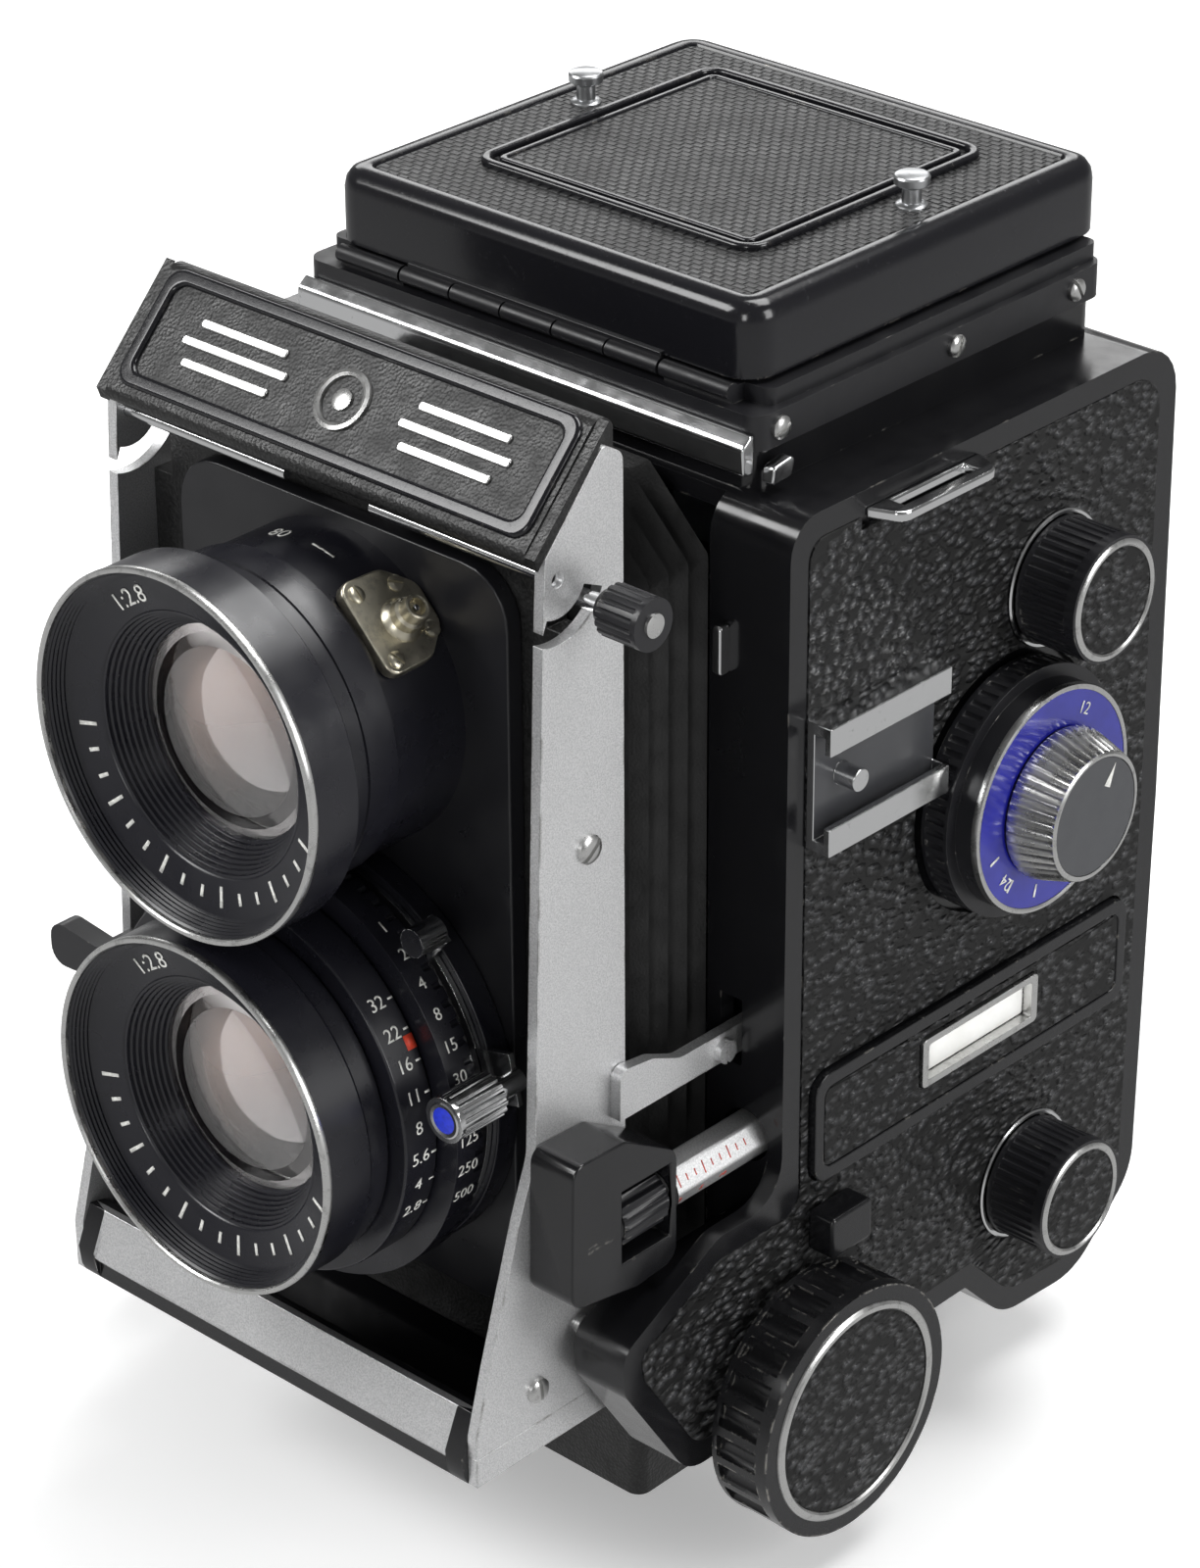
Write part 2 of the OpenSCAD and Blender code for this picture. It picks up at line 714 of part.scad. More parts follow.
module rack_rails() {
    first = shaft_y + rack_pitch * (0.5 - floor((shaft_y - rack_front_y) / rack_pitch));
    join_y = plate_back_y - 2;
    color("#c4c6c8")
    both_sides() {
        slab_x(plate_x, plate_x + plate_t)
            polygon([[sill_y, rail_foot_z], [sill_y, plate_foot_z],
                [plate_back_y, plate_foot_z], [plate_back_y, rail_foot_z]]);
        slab_x(rail_x, rail_x + rail_w)
            polygon([[join_y, rack_pitch_z + 0.6], [join_y, rail_top_z],
                [rack_rear_y, rail_top_z], [rack_rear_y, rack_pitch_z + 0.6]]);
        slab_x(rail_x, rail_x + rail_w)
            for (i = [0:rack_count - 1])
                translate([first + i * rack_pitch, rack_pitch_z])
                    polygon([[-0.5, 0.7], [0.5, 0.7], [0.27, -0.45], [-0.27, -0.45]]);
    }
}

module top_cover() {
    color("#161618")
    difference() {
        slab_x(-plate_x, plate_x)
            polygon(rounded([[plate_back_y, 149.2, 0], [plate_back_y, 161.8, 1.5],
                [-41.4, 163.8, 2], [-54.3, 150.2, 1.5], [-53.9, 148.2, 1],
                [-51, 149.2, 0]]));
        slab_x(-33, 33) polygon([[-41.4, 149], [-41.4, 158.6], [-49.8, 149.6], [-49.6, 149]]);
    }
    color("#161618")
    both_sides() slab_x(plate_x, plate_x + plate_t)
        polygon([[-42.8, 160.9], [-41.6, 163.2], [-54.2, 150], [-53.6, 148.4], [-52.7, 149.6]]);
}

module standard_screws() {
    color("#bcbec0")
    both_sides() {
        for (p = [[-45.6, 109.1, 1.7], [-55.7, 36.1, 1.7], [-42.7, 35.8, 1.6]])
            slotted_screw(plate_x + plate_t, p[0], p[1], p[2]);
    }
}

module parallax_arm() {
    color("#c6c8ca") {
        slab_x(37.1, 38.7)
            polygon(rounded([[-42, 69.8, 0], [-42, 77, 1.5], [-36, 76.2, 3], [-31, 74, 4],
                [20, 74, 2], [20, 69.8, 2]]));
        block([plate_x + plate_t, -42, 70], [37.1 + eps, -40, 76]);
        slotted_screw(38.7, -23, 71.6, 1.6);
    }
}

module scale_housing() {
    color("#161618")
    difference() {
        slab_x(plate_x + plate_t, 44.2)
            polygon(rounded([[-56.8, 51.5, 2.5], [-56.4, 72, 2], [-47, 71.6, 2],
                [-37.6, 66, 3], [-37.6, 50, 2.5], [-45, 49.4, 0]]));
        rod_along_y(rod_r + run_gap, -54.8, -30, rod_x, rod_z);
        rod_along_y(wheel_r + 0.4, -47.6, -38.9, rod_x, rod_z);
        block([rod_x, -47.6, 54], [46, -38.9, 64.5]);
    }
}

module scale_rod() {
    color("#c9cbcc") {
        rod_along_y(rod_r, -54.6, 22, rod_x, rod_z);
        difference() {
            rod_along_y(wheel_r, -47.3, -39.2, rod_x, rod_z);
            for (i = [0:15])
                translate([rod_x, 0, rod_z]) rotate([0, i * 22.5, 0])
                    rod_along_y(0.45, -48, -39, wheel_r + 0.1, 0);
        }
    }
}

module lens_board() {
    color("#18181a")
    difference() {
        slab_y(board_y, board_y + board_t) polygon(box_outline(-28, 40, 28, 143, 7));
        rod_along_y(glass_r, board_y - 1, panel_y + 1, 0, taking_z);
        rod_along_y(glass_r, board_y - 1, panel_y + 1, 0, viewing_z);
    }
}

module viewing_barrel() {
    color("#141419")
    difference() {
        union() {
            lens_ring(20.8, glass_r, -61, board_y, viewing_z);
            lens_ring(21.3, glass_r, -70, -61, viewing_z);
            lens_ring(bezel_r, glass_r, bezel_y, -70, viewing_z);
        }
        translate([0, bezel_y - eps, viewing_z]) rotate([-90, 0, 0])
            cylinder(r1 = bezel_r - 1.2, r2 = glass_r, h = 7);
    }
}

module taking_barrel() {
    color("#141419")
    difference() {
        union() {
            lens_ring(neck_r + 0.7, glass_r, -70, aperture_y - 0.3, taking_z);
            lens_ring(bezel_r, glass_r, bezel_y, -70, taking_z);
        }
        translate([0, bezel_y - eps, taking_z]) rotate([-90, 0, 0])
            cylinder(r1 = bezel_r - 1.2, r2 = glass_r, h = 7);
    }
}

// Front element: a disc with a domed front face
module lens_glass(z) {
    dome_r = 40;
    intersection() {
        rod_along_y(glass_r, -73, -62, 0, z);
        translate([0, dome_r - 71.4, z]) sphere(r = dome_r, $fn = 96);
    }
}

module viewing_glass() {
    color("#8894a6") lens_glass(viewing_z);
}

module taking_glass() {
    color("#8894a6") lens_glass(taking_z);
}

module sync_socket() {
    color("#b5a56a")
    translate([0, -55.2, viewing_z]) rotate([0, 45, 0]) {
        rod_along_z(5.6, 20.8, 22, 0, 0);
        rod_along_z(2.6, 21.9, 24.2, 0, 0);
        difference() {
            rod_along_z(1.6, 24.1, 26, 0, 0);
            rod_along_z(0.9, 24.6, 27, 0, 0);
        }
    }
}

module shutter_housing() {
    color("#16161b")
    union() {
        lens_ring(housing_r, glass_r, housing_y, board_y, taking_z);
        lens_ring(core_r, glass_r, speed_y - 0.1, housing_y, taking_z);
        lens_ring(neck_r, glass_r, aperture_y - 0.3, speed_y - 0.1, taking_z);
    }
}

module speed_ring() {
    color("#17171c")
    difference() {
        lens_ring(speed_r, core_r + run_gap, speed_y, -56, taking_z);
        for (i = [0:71])
            translate([0, 0, taking_z]) rotate([0, i * 5, 0])
                rod_along_y(0.5, -57.4, -55, speed_r + 0.15, 0);
    }
}

module aperture_ring() {
    color("#17171c")
    lens_ring(aperture_r, neck_r + run_gap, aperture_y, speed_y - 0.3, taking_z);
}

// Ring round the shutter core that carries a lever
module lever_ring(y) {
    lens_ring(lever_ring_r, core_r + run_gap, y - lever_t, y, taking_z);
}

cocking_angle = 13.5;
cocking_r = 33;
module cocking_lever() {
    color("#ced0d2") {
        lever_ring(cocking_y);
        translate([0, 0, taking_z]) rotate([0, -cocking_angle, 0]) {
            block([26.5, cocking_y - lever_t, -3.5], [cocking_r, cocking_y, 3.5]);
            rod_along_y(1.5, -58.2, cocking_y, cocking_r, 0);
            difference() {
                rod_along_y(3, -66, -58, cocking_r, 0);
                for (i = [0:15])
                    translate([cocking_r, 0, 0]) rotate([0, i * 22.5, 0])
                        rod_along_y(0.35, -65.2, -57, 3.1, 0);
            }
        }
    }
}

module release_lever() {
    color("#19191b") {
        lever_ring(release_y);
        block([-34.4, release_y - lever_t, 70], [-26.4, release_y, 75]);
        block([-34.4, -62.4, 70], [-31.2, release_y - lever_t + eps, 75]);
        slab_y(-62.4, -59.2)
            polygon(rounded([[-34.4 + eps, 70, 0], [-43, 69.4, 2.4], [-43, 76, 2.4],
                [-34.4 + eps, 75, 0]]));
    }
}

module sync_lever() {
    color("#cfd1d3") {
        lever_ring(sync_y);
        translate([0, 0, taking_z]) rotate([0, -50, 0]) {
            block([26.5, sync_y - lever_t, -2], [33.4, sync_y, 2]);
            rod_along_y(1.9, -60, sync_y - lever_t + eps, 33.2, 0);
        }
    }
}

module lens_bail() {
    wire_r = 0.9;
    arm_r = 0.8;
    bow_reach = 2.2;
    color("#c9cbcc") {
        both_sides() rod_along_x(wire_r, 7.2, 36.4, bail_y, bail_z);
        both_sides() translate([8.3, bail_y, bail_z]) rotate([28, 0, 0])
            rod_along_y(arm_r, 0, bow_reach, 0, 0);
        translate([0, bail_y, bail_z]) rotate([28, 0, 0])
            rod_along_x(wire_r, -9.4, 9.4, bow_reach, 0);
        translate([34, bail_y, bail_z]) rotate([atan2(bail_pin_z - bail_z, bail_pin_y - bail_y), 0, 0])
            rod_along_y(arm_r, 0, bail_reach, 0, 0);
        rod_along_x(1.2, 33, 41, bail_pin_y, bail_pin_z);
    }
    color("#1a1a1c")
    difference() {
        union() {
            rod_along_x(3.3, 41, 47.2, bail_pin_y, bail_pin_z);
            rod_along_x(2.2, 39.8, 41 + eps, bail_pin_y, bail_pin_z);
        }
        flutes(16, 3.5, 0.4, 40, 46.4, bail_pin_y, bail_pin_z);
    }
}

// ---- Bellows ----

bellows_front = panel_y + panel_t;
bellows_rear = front_y + front_wall_t;
pleats = 7;

module bellows_section(half, low, high) {
    polygon([[-half, low], [half, low], [half, high - 9], [half - 9, high],
        [-half + 9, high], [-half, high - 9]]);
}

module bellows() {
    step = (bellows_rear - bellows_front) / (2 * pleats + 1);
    color("#151517")
    difference() {
        for (i = [0:2 * pleats])
            slab_y(bellows_front + i * step, bellows_front + (i + 1) * step + eps)
                if (i % 2 == 0)
                    bellows_section(30.4, 38.6, 144.6);
                else
                    bellows_section(33.8, 35.2, 147.6);
        slab_y(bellows_front - 1, bellows_rear + 1) polygon(box_outline(-27, 44, 27, 93.5, 2));
        slab_y(bellows_front - 1, bellows_rear + 1) polygon(box_outline(-27, 96.5, 27, 139, 2));
    }
}

// ---- Focusing drive ----

module focus_shaft() {
    color("#b4b7b9") {
        rod_along_x(shaft_r, -49, 49, shaft_y, shaft_z);
        both_sides() translate([rail_x - 0.2, shaft_y, shaft_z]) rotate([90, 0, 90])
            linear_extrude(rail_w + 0.4) gear_outline(pinion_teeth, rack_module, 0.25);
    }
}

module focus_knob() {
    color("#1b1b1d")
    difference() {
        union() {
            rod_along_x(6, half_w + 0.5, 50, shaft_y, shaft_z);
            rod_along_x(focus_knob_r, 49.4, 58.5, shaft_y, shaft_z);
        }
        rod_along_x(shaft_r, 40, 49, shaft_y, shaft_z);
        flutes(24, focus_knob_r + 0.9, 1.9, 50.2, 56.6, shaft_y, shaft_z);
        rod_along_x(14, 58, 60, shaft_y, shaft_z);
    }
}

module focus_knob_right() {
    focus_knob();
}

module focus_knob_left() {
    mirror([1, 0, 0]) focus_knob();
}

// ---- Side controls ----

module spool_knob(y, z) {
    color("#1c1c1e") {
        difference() {
            rod_along_x(spool_knob_r, half_w + 0.8, spool_knob_x, y, z);
            flutes(40, spool_knob_r + 0.25, 0.5, half_w + 1.6, spool_knob_x - 1.6, y, z);
        }
        rod_along_x(3, 43, half_w + 1, y, z);
        rod_along_x(spool_pin_r, spool_half - 3, 44, y, z);
    }
}

module spool_knob_upper() {
    spool_knob(spool_y, takeup_z);
}

module spool_knob_lower() {
    spool_knob(supply_y, supply_z);
}

module dial_ring() {
    color("#2b35b5")
    difference() {
        union() {
            rod_along_x(17.1, half_w + 0.5, 51.6, dial_y, dial_z);
            rod_along_x(15.4, 51.6 - eps, 55, dial_y, dial_z);
            rod_along_x(3, 43.4, half_w + 1, dial_y, dial_z);
        }
        flutes(60, 17.3, 0.5, half_w + 1.2, 51, dial_y, dial_z);
        rod_along_x(2, 40, 60, dial_y, dial_z);
    }
}

module lock_knob() {
    color("#c5c7c9") {
        difference() {
            rod_along_x(9.6, 55.3, 62, dial_y, dial_z);
            flutes(44, 9.85, 0.4, 55, 60.8, dial_y, dial_z);
        }
        rod_along_x(1.95, 42.6, 55.4, dial_y, dial_z);
    }
}

module focus_lock() {
    color("#19191b") {
        slab_x(half_w + 0.4, 51.6)
            polygon(box_outline(lock_y - 4, lock_z - 3, lock_y + 4, lock_z + 3, 0.8));
        rod_along_x(1.6, 43.4, half_w + 0.4, lock_y, lock_z);
    }
}

body_shell();
base_block();
tripod_bush();
side_leathers();
indicator_band();
window_plate();
accessory_shoe();
strap_lugs();
front_trim();
mirror_glass();
mirror_holder();
film_gate();
film_roller_lower();
film_roller_upper();
hood_base();
focusing_screen();
hood_screws();
side_plates();
front_panel();
front_sill();
rack_rails();
top_cover();
standard_screws();
parallax_arm();
scale_housing();
lens_board();
viewing_barrel();
viewing_glass();
sync_socket();
shutter_housing();
taking_barrel();
taking_glass();
speed_ring();
aperture_ring();
cocking_lever();
sync_lever();
release_lever();
lens_bail();
scale_rod();
bellows();
focus_shaft();
focus_knob_right();
focus_knob_left();
spool_knob_upper();
spool_knob_lower();
dial_ring();
lock_knob();
focus_lock();
crank();
crank_handle();
takeup_gear();
takeup_spool();
supply_spool();
back_door();
back_latch();
hood_lid();
hood_wall_right();
hood_wall_left();
hood_wall_rear();
magnifier();
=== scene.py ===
"""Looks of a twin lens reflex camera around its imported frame. Lengths are millimetres until MM."""

import json
import math

import bmesh
import bpy
from mathutils import Matrix, Vector


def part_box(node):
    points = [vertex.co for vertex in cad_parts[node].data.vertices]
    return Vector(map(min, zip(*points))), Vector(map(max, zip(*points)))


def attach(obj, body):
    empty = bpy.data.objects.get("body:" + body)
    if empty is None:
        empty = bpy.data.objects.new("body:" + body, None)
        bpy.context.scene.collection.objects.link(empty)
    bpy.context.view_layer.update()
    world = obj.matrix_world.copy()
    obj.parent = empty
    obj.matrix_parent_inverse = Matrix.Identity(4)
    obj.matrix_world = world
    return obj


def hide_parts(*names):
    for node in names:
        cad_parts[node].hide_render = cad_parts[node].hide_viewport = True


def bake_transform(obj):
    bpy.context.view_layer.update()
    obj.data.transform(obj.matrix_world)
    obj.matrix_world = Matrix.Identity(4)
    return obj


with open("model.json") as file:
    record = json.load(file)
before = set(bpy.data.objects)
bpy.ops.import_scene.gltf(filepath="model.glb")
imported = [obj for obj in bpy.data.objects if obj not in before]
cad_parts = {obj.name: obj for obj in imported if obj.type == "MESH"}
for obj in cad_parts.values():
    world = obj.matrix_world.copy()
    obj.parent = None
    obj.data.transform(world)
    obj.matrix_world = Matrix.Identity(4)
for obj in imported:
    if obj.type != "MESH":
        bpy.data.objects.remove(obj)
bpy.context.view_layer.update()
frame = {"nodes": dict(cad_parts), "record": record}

MM = 0.001
NODE_SLOT = {part["node"]: part["material_slot"] for part in frame["record"]["subparts"]}
TAU = 2 * math.pi


def corners(node):
    """Lowest and highest corner of a CAD node, in millimetres."""
    low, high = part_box(node)
    return low / MM, high / MM


def middle(node):
    low, high = corners(node)
    return (low + high) / 2


# ---- Shader building ----

EDGE_STOPS = ((0.015, 0.0), (0.07, 1.0))
BEVEL_SAMPLES = 4


def fill(node, **values):
    """Sets the sockets of a node by name, with _ for each space."""
    for key, value in values.items():
        node.inputs[key.replace("_", " ")].default_value = value
    return node


LOOKS = {}


class Look:
    """One procedural material, kept in LOOKS, with short ways to add nodes to it."""

    def __init__(self, name, slot, color, rough, metallic=0.0, **fixed):
        LOOKS[name] = self
        self.slot = slot
        self.mat = bpy.data.materials.new(name)
        self.mat.use_nodes = True
        self.tree = self.mat.node_tree
        self.shader = self.tree.nodes["Principled BSDF"]
        fill(self.shader, Base_Color=(*color, 1), Roughness=rough, Metallic=metallic, **fixed)
        self.place = self.add("ShaderNodeTexCoord").outputs["Object"]
        self.normal = None

    def add(self, kind, **props):
        made = self.tree.nodes.new(kind)
        for key, value in props.items():
            setattr(made, key, value)
        return made

    def link(self, source, target):
        self.tree.links.new(source, target)

    def drive(self, socket, source):
        self.link(source, self.shader.inputs[socket])

    def stretched(self, scale, turn):
        made = fill(self.add("ShaderNodeMapping"), Scale=scale, Rotation=turn)
        self.link(self.place, made.inputs["Vector"])
        return made.outputs["Vector"]

    def noise(self, size, detail=3.0, rough=0.5, where=None, warp=0.0):
        made = fill(self.add("ShaderNodeTexNoise"), Scale=1 / (size * MM), Detail=detail,
                    Roughness=rough, Distortion=warp)
        self.link(where or self.place, made.inputs["Vector"])
        return made.outputs["Fac"]

    def cells(self, size, feature="F1", where=None, smooth=0.6):
        made = fill(self.add("ShaderNodeTexVoronoi", feature=feature), Scale=1 / (size * MM))
        if feature == "SMOOTH_F1":
            fill(made, Smoothness=smooth)
        self.link(where or self.place, made.inputs["Vector"])
        return made.outputs["Distance"]

    def slope(self, way, reach):
        """0 to 1 along a direction across the piece; reach is a share of its box."""
        box = self.add("ShaderNodeTexCoord").outputs["Generated"]
        spot = self.add("ShaderNodeVectorMath", operation="DOT_PRODUCT")
        self.link(box, spot.inputs[0])
        spot.inputs[1].default_value = way
        halfway = sum(way) / 2
        span = fill(self.add("ShaderNodeMapRange"), From_Min=halfway - reach, From_Max=halfway + reach)
        self.link(spot.outputs["Value"], span.inputs["Value"])
        return span.outputs["Result"]

    def ramp(self, source, *stops):
        """A colour ramp. Each stop is its position, and a colour or a grey level."""
        made = self.add("ShaderNodeValToRGB")
        bar = made.color_ramp
        while len(bar.elements) < len(stops):
            bar.elements.new(1)
        for element, (at, value) in zip(bar.elements, stops):
            element.position = at
            element.color = (*value, 1) if isinstance(value, tuple) else (value,) * 3 + (1,)
        self.link(source, made.inputs["Fac"])
        return made.outputs["Color"]

    def feed(self, socket, value):
        """Sets a number or a colour on a socket, or links an output to it."""
        if isinstance(value, tuple):
            socket.default_value = (*value, 1)
        elif isinstance(value, float):
            socket.default_value = value
        else:
            self.link(value, socket)

    def sum(self, how, a, b):
        made = self.add("ShaderNodeMath", operation=how)
        self.feed(made.inputs[0], a)
        self.feed(made.inputs[1], b)
        return made.outputs["Value"]

    def mix(self, share, a, b):
        made = self.add("ShaderNodeMix", data_type="RGBA")
        self.link(share, made.inputs["Factor"])
        self.feed(made.inputs[6], a)
        self.feed(made.inputs[7], b)
        return made.outputs[2]

    def vary(self, socket, noise, *stops):
        """Drives a socket of the shader by noise through a ramp."""
        self.drive(socket, self.ramp(self.noise(*noise), *stops))

    def bump(self, height, strength, depth):
        made = fill(self.add("ShaderNodeBump"), Strength=strength, Distance=depth * MM)
        self.link(height, made.inputs["Height"])
        if self.normal is not None:
            self.link(self.normal, made.inputs["Normal"])
        self.normal = made.outputs["Normal"]
        self.drive("Normal", self.normal)

    def grain(self, size, detail, strength, depth):
        self.bump(self.noise(size, detail), strength, depth)

    def wear(self, radius, low, high, patch=4.0):
        """Share of bare material on worn edges: where a rounded normal leaves the true one."""
        soft = fill(self.add("ShaderNodeBevel", samples=BEVEL_SAMPLES), Radius=radius * MM)
        true = self.add("ShaderNodeNewGeometry")
        dot = self.add("ShaderNodeVectorMath", operation="DOT_PRODUCT")
        self.link(soft.outputs["Normal"], dot.inputs[0])
        self.link(true.outputs["Normal"], dot.inputs[1])
        edge = self.ramp(self.sum("SUBTRACT", 1.0, dot.outputs["Value"]), *EDGE_STOPS)
        spots = self.ramp(self.noise(patch, 5.0, 0.65), (low, 0.0), (high, 1.0))
        return self.sum("MULTIPLY", edge, spots)


def worn_paint(name, slot, color, rough, wear, bare_color, gloss, bumps, **fixed):
    """Black paint, rubbed to bare metal on its edges. gloss is a noise and two roughness stops."""
    made = Look(name, slot, color, rough, **fixed)
    bare = made.wear(*wear)
    made.drive("Base Color", made.mix(bare, color, bare_color))
    made.drive("Metallic", bare)
    made.vary("Roughness", *gloss)
    for bump in bumps:
        made.grain(*bump)


def worn_paints():
    worn_paint("gloss_paint", "gloss_paint", (0.007, 0.007, 0.008), 0.16, (0.35, 0.60, 0.72),
               (0.42, 0.40, 0.36), ((9.0, 4.0, 0.6), (0.35, 0.13), (0.75, 0.30)),
               ((1.4, 2.0, 0.10, 0.05), (0.25, 2.0, 0.05, 0.02)), Specular_IOR_Level=0.55)
    worn_paint("lid_paint", "gloss_paint", (0.008, 0.008, 0.010), 0.2, (0.5, 0.60, 0.70, 2.5),
               (0.30, 0.28, 0.25), ((0.7, 6.0, 0.7), (0.55, 0.17), (0.8, 0.4)),
               ((0.5, 3.0, 0.12, 0.04),))
    worn_paint("satin_black", "satin_black", (0.010, 0.010, 0.012), 0.33, (0.25, 0.58, 0.70, 3.0),
               (0.38, 0.37, 0.34), ((5.0, 4.0), (0.3, 0.27), (0.7, 0.42)),
               ((0.18, 2.0, 0.12, 0.02),))
    worn_paint("knob_black", "satin_black", (0.008, 0.008, 0.009), 0.22, (0.45, 0.52, 0.62, 2.5),
               (0.52, 0.50, 0.46), ((4.0, 4.0), (0.3, 0.16), (0.7, 0.32)),
               ((0.4, 3.0, 0.12, 0.03),))
    worn_paint("hood_black", "gloss_paint", (0.010, 0.010, 0.012), 0.38, (0.2, 0.60, 0.70, 2.0),
               (0.30, 0.29, 0.27), ((4.0, 5.0), (0.3, 0.33), (0.7, 0.5)),
               ((0.3, 3.0, 0.15, 0.03),))


def crinkle_paint():
    made = Look("crinkle_paint", "crinkle_paint", (0.011, 0.011, 0.012), 0.42)
    grains = made.cells(0.42, "SMOOTH_F1", smooth=0.4)
    made.drive("Base Color", made.ramp(grains, (0.1, 0.017), (0.7, 0.006)))
    made.vary("Roughness", (3.0,), (0.3, 0.34), (0.7, 0.5))
    made.bump(grains, 0.55, 0.12)
    made.grain(0.2, 2.0, 0.3, 0.05)


def barrel_black():
    made = Look("barrel_black", "barrel_black", (0.009, 0.009, 0.013), 0.27)
    turned = made.add("ShaderNodeTexWave", wave_type="BANDS", bands_direction="Y")
    fill(turned, Scale=900.0, Distortion=0.4)
    made.link(made.place, turned.inputs["Vector"])
    made.vary("Base Color", (0.55, 6.0, 0.75), (0.715, (0.009, 0.009, 0.013)), (0.76, 0.09))
    made.vary("Roughness", (6.0, 4.0), (0.3, 0.22), (0.7, 0.36))
    made.bump(turned.outputs["Fac"], 0.05, 0.02)


def hood_sheet():
    made = Look("hood_sheet", "hood_sheet", (0.014, 0.014, 0.015), 0.5)
    made.vary("Roughness", (6.0, 4.0), (0.3, 0.42), (0.7, 0.6))
    made.grain(0.25, 3.0, 0.25, 0.03)


def leatherette():
    """Black hide: flat wrinkled pebbles, longer across than they are tall."""
    made = Look("leatherette", "leatherette", (0.008, 0.008, 0.009), 0.36, Specular_IOR_Level=0.5)
    bent = made.stretched((1.0, 0.60, 1.05), (0.25, 0.1, 0.1))
    wobble = made.noise(1.3, 2.0, 0.5, bent, 0.9)
    pebbles = made.cells(1.15, "SMOOTH_F1", bent, 0.22)
    creases = made.cells(1.9, "F1", bent)
    grain = made.sum("ADD", made.sum("MULTIPLY", pebbles, 0.8), made.sum("MULTIPLY", wobble, 0.5))
    # Painted light: the pebble tops are lighter grey as a painted highlight, the valleys between them near
    # black as painted shade.
    painted_lit_tops = made.ramp(grain, (0.36, (0.040, 0.041, 0.044)), (0.66, (0.001, 0.001, 0.001)))
    made.drive("Base Color", painted_lit_tops)
    made.drive("Roughness", made.ramp(grain, (0.35, 0.30), (0.8, 0.60)))
    height = made.ramp(grain, (0.28, 1.0), (0.80, 0.0))
    made.bump(height, 1.0, 0.75)
    made.bump(creases, 0.5, 0.4)
    made.grain(0.3, 2.0, 0.12, 0.03)


def weave():
    """Pressed cloth pattern: short raised dashes in staggered rows."""
    made = Look("weave", "leatherette", (0.012, 0.012, 0.012), 0.4, Specular_IOR_Level=0.5)
    bricks = fill(made.add("ShaderNodeTexBrick"), Color1=(1, 1, 1, 1), Color2=(0.75, 0.75, 0.75, 1),
                  Mortar=(0, 0, 0, 1), Scale=1 / MM, Mortar_Size=0.30, Mortar_Smooth=1.0,
                  Brick_Width=1.75, Row_Height=1.15)
    made.link(made.place, bricks.inputs["Vector"])
    dashes = bricks.outputs["Color"]
    rub = made.noise(7.0, 5.0, 0.6)
    # Painted light: the gaps between the dashes are near black as painted shade, the dashes lighter grey
    # as a painted highlight. The dusty patches are real dust.
    painted_light = made.ramp(dashes, (0.15, 0.002), (0.9, (0.030, 0.030, 0.031)))
    dusty = made.ramp(rub, (0.56, 0.0), (0.85, 0.25))
    made.drive("Base Color", made.mix(dusty, painted_light, (0.040, 0.037, 0.033)))
    made.drive("Roughness", made.ramp(rub, (0.3, 0.34), (0.7, 0.5)))
    made.bump(dashes, 1.0, 0.55)
    made.grain(0.3, 3.0, 0.3, 0.06)


def bellows_skin():
    made = Look("bellows_skin", "bellows_skin", (0.010, 0.010, 0.011), 0.6, Sheen_Weight=0.15)
    weft = made.cells(0.35, "SMOOTH_F1")
    made.vary("Base Color", (4.0, 5.0), (0.3, 0.007), (0.75, 0.022))
    made.vary("Roughness", (2.0, 4.0), (0.3, 0.5), (0.7, 0.68))
    made.bump(weft, 0.45, 0.08)
    made.grain(2.5, 3.0, 0.2, 0.2)


def scaled(color, share):
    return tuple(channel * share for channel in color)


def metal(name, slot, color, rough_low, rough_high, grain, depth, dirt=(0.62, 0.74)):
    """A bare metal with fine grain, soft stains and a few specks."""
    made = Look(name, slot, color, rough_low, 1.0)
    stains = made.ramp(made.noise(1.8, 6.0, 0.7), (dirt[0], 0.0), (dirt[1], 1.0))
    made.drive("Base Color", made.mix(stains, color, scaled(color, 0.62)))
    made.vary("Roughness", (3.0, 5.0, 0.65), (0.3, rough_low), (0.7, rough_high))
    made.bump(made.noise(grain, 3.0, 0.6), 0.3, depth)


def satin_silver():
    """Pearl chrome: fine blasted grain, pale grey, with rubbed edges and a few dark specks."""
    made = Look("satin_silver", "satin_silver", (0.70, 0.705, 0.71), 0.40, 0.85)
    rub = made.wear(0.5, 0.50, 0.62, 5.0)
    grain = made.ramp(made.noise(0.22, 2.0), (0.35, (0.66, 0.665, 0.67)), (0.65, (0.88, 0.88, 0.885)))
    stains = made.ramp(made.noise(1.1, 7.0, 0.75), (0.66, 0.0), (0.76, 1.0))
    tone = made.mix(stains, grain, (0.40, 0.39, 0.37))
    made.drive("Base Color", made.mix(rub, tone, (0.26, 0.25, 0.24)))
    made.vary("Roughness", (8.0, 4.0), (0.3, 0.36), (0.7, 0.46))
    made.grain(0.20, 2.0, 0.5, 0.03)


def blue_enamel():
    made = Look("blue_enamel", "blue_enamel", (0.018, 0.022, 0.36), 0.22, Coat_Weight=0.6)
    made.vary("Base Color", (5.0, 4.0), (0.3, (0.010, 0.011, 0.22)), (0.75, (0.018, 0.021, 0.31)))
    made.grain(1.0, 3.0, 0.08, 0.03)


def grey_face():
    made = Look("grey_face", "chrome", (0.06, 0.062, 0.068), 0.4)
    made.vary("Base Color", (0.8, 6.0, 0.7), (0.68, (0.055, 0.057, 0.062)), (0.76, 0.16))
    made.vary("Roughness", (3.0, 4.0), (0.3, 0.34), (0.7, 0.48))
    made.grain(0.2, 2.0, 0.12, 0.02)


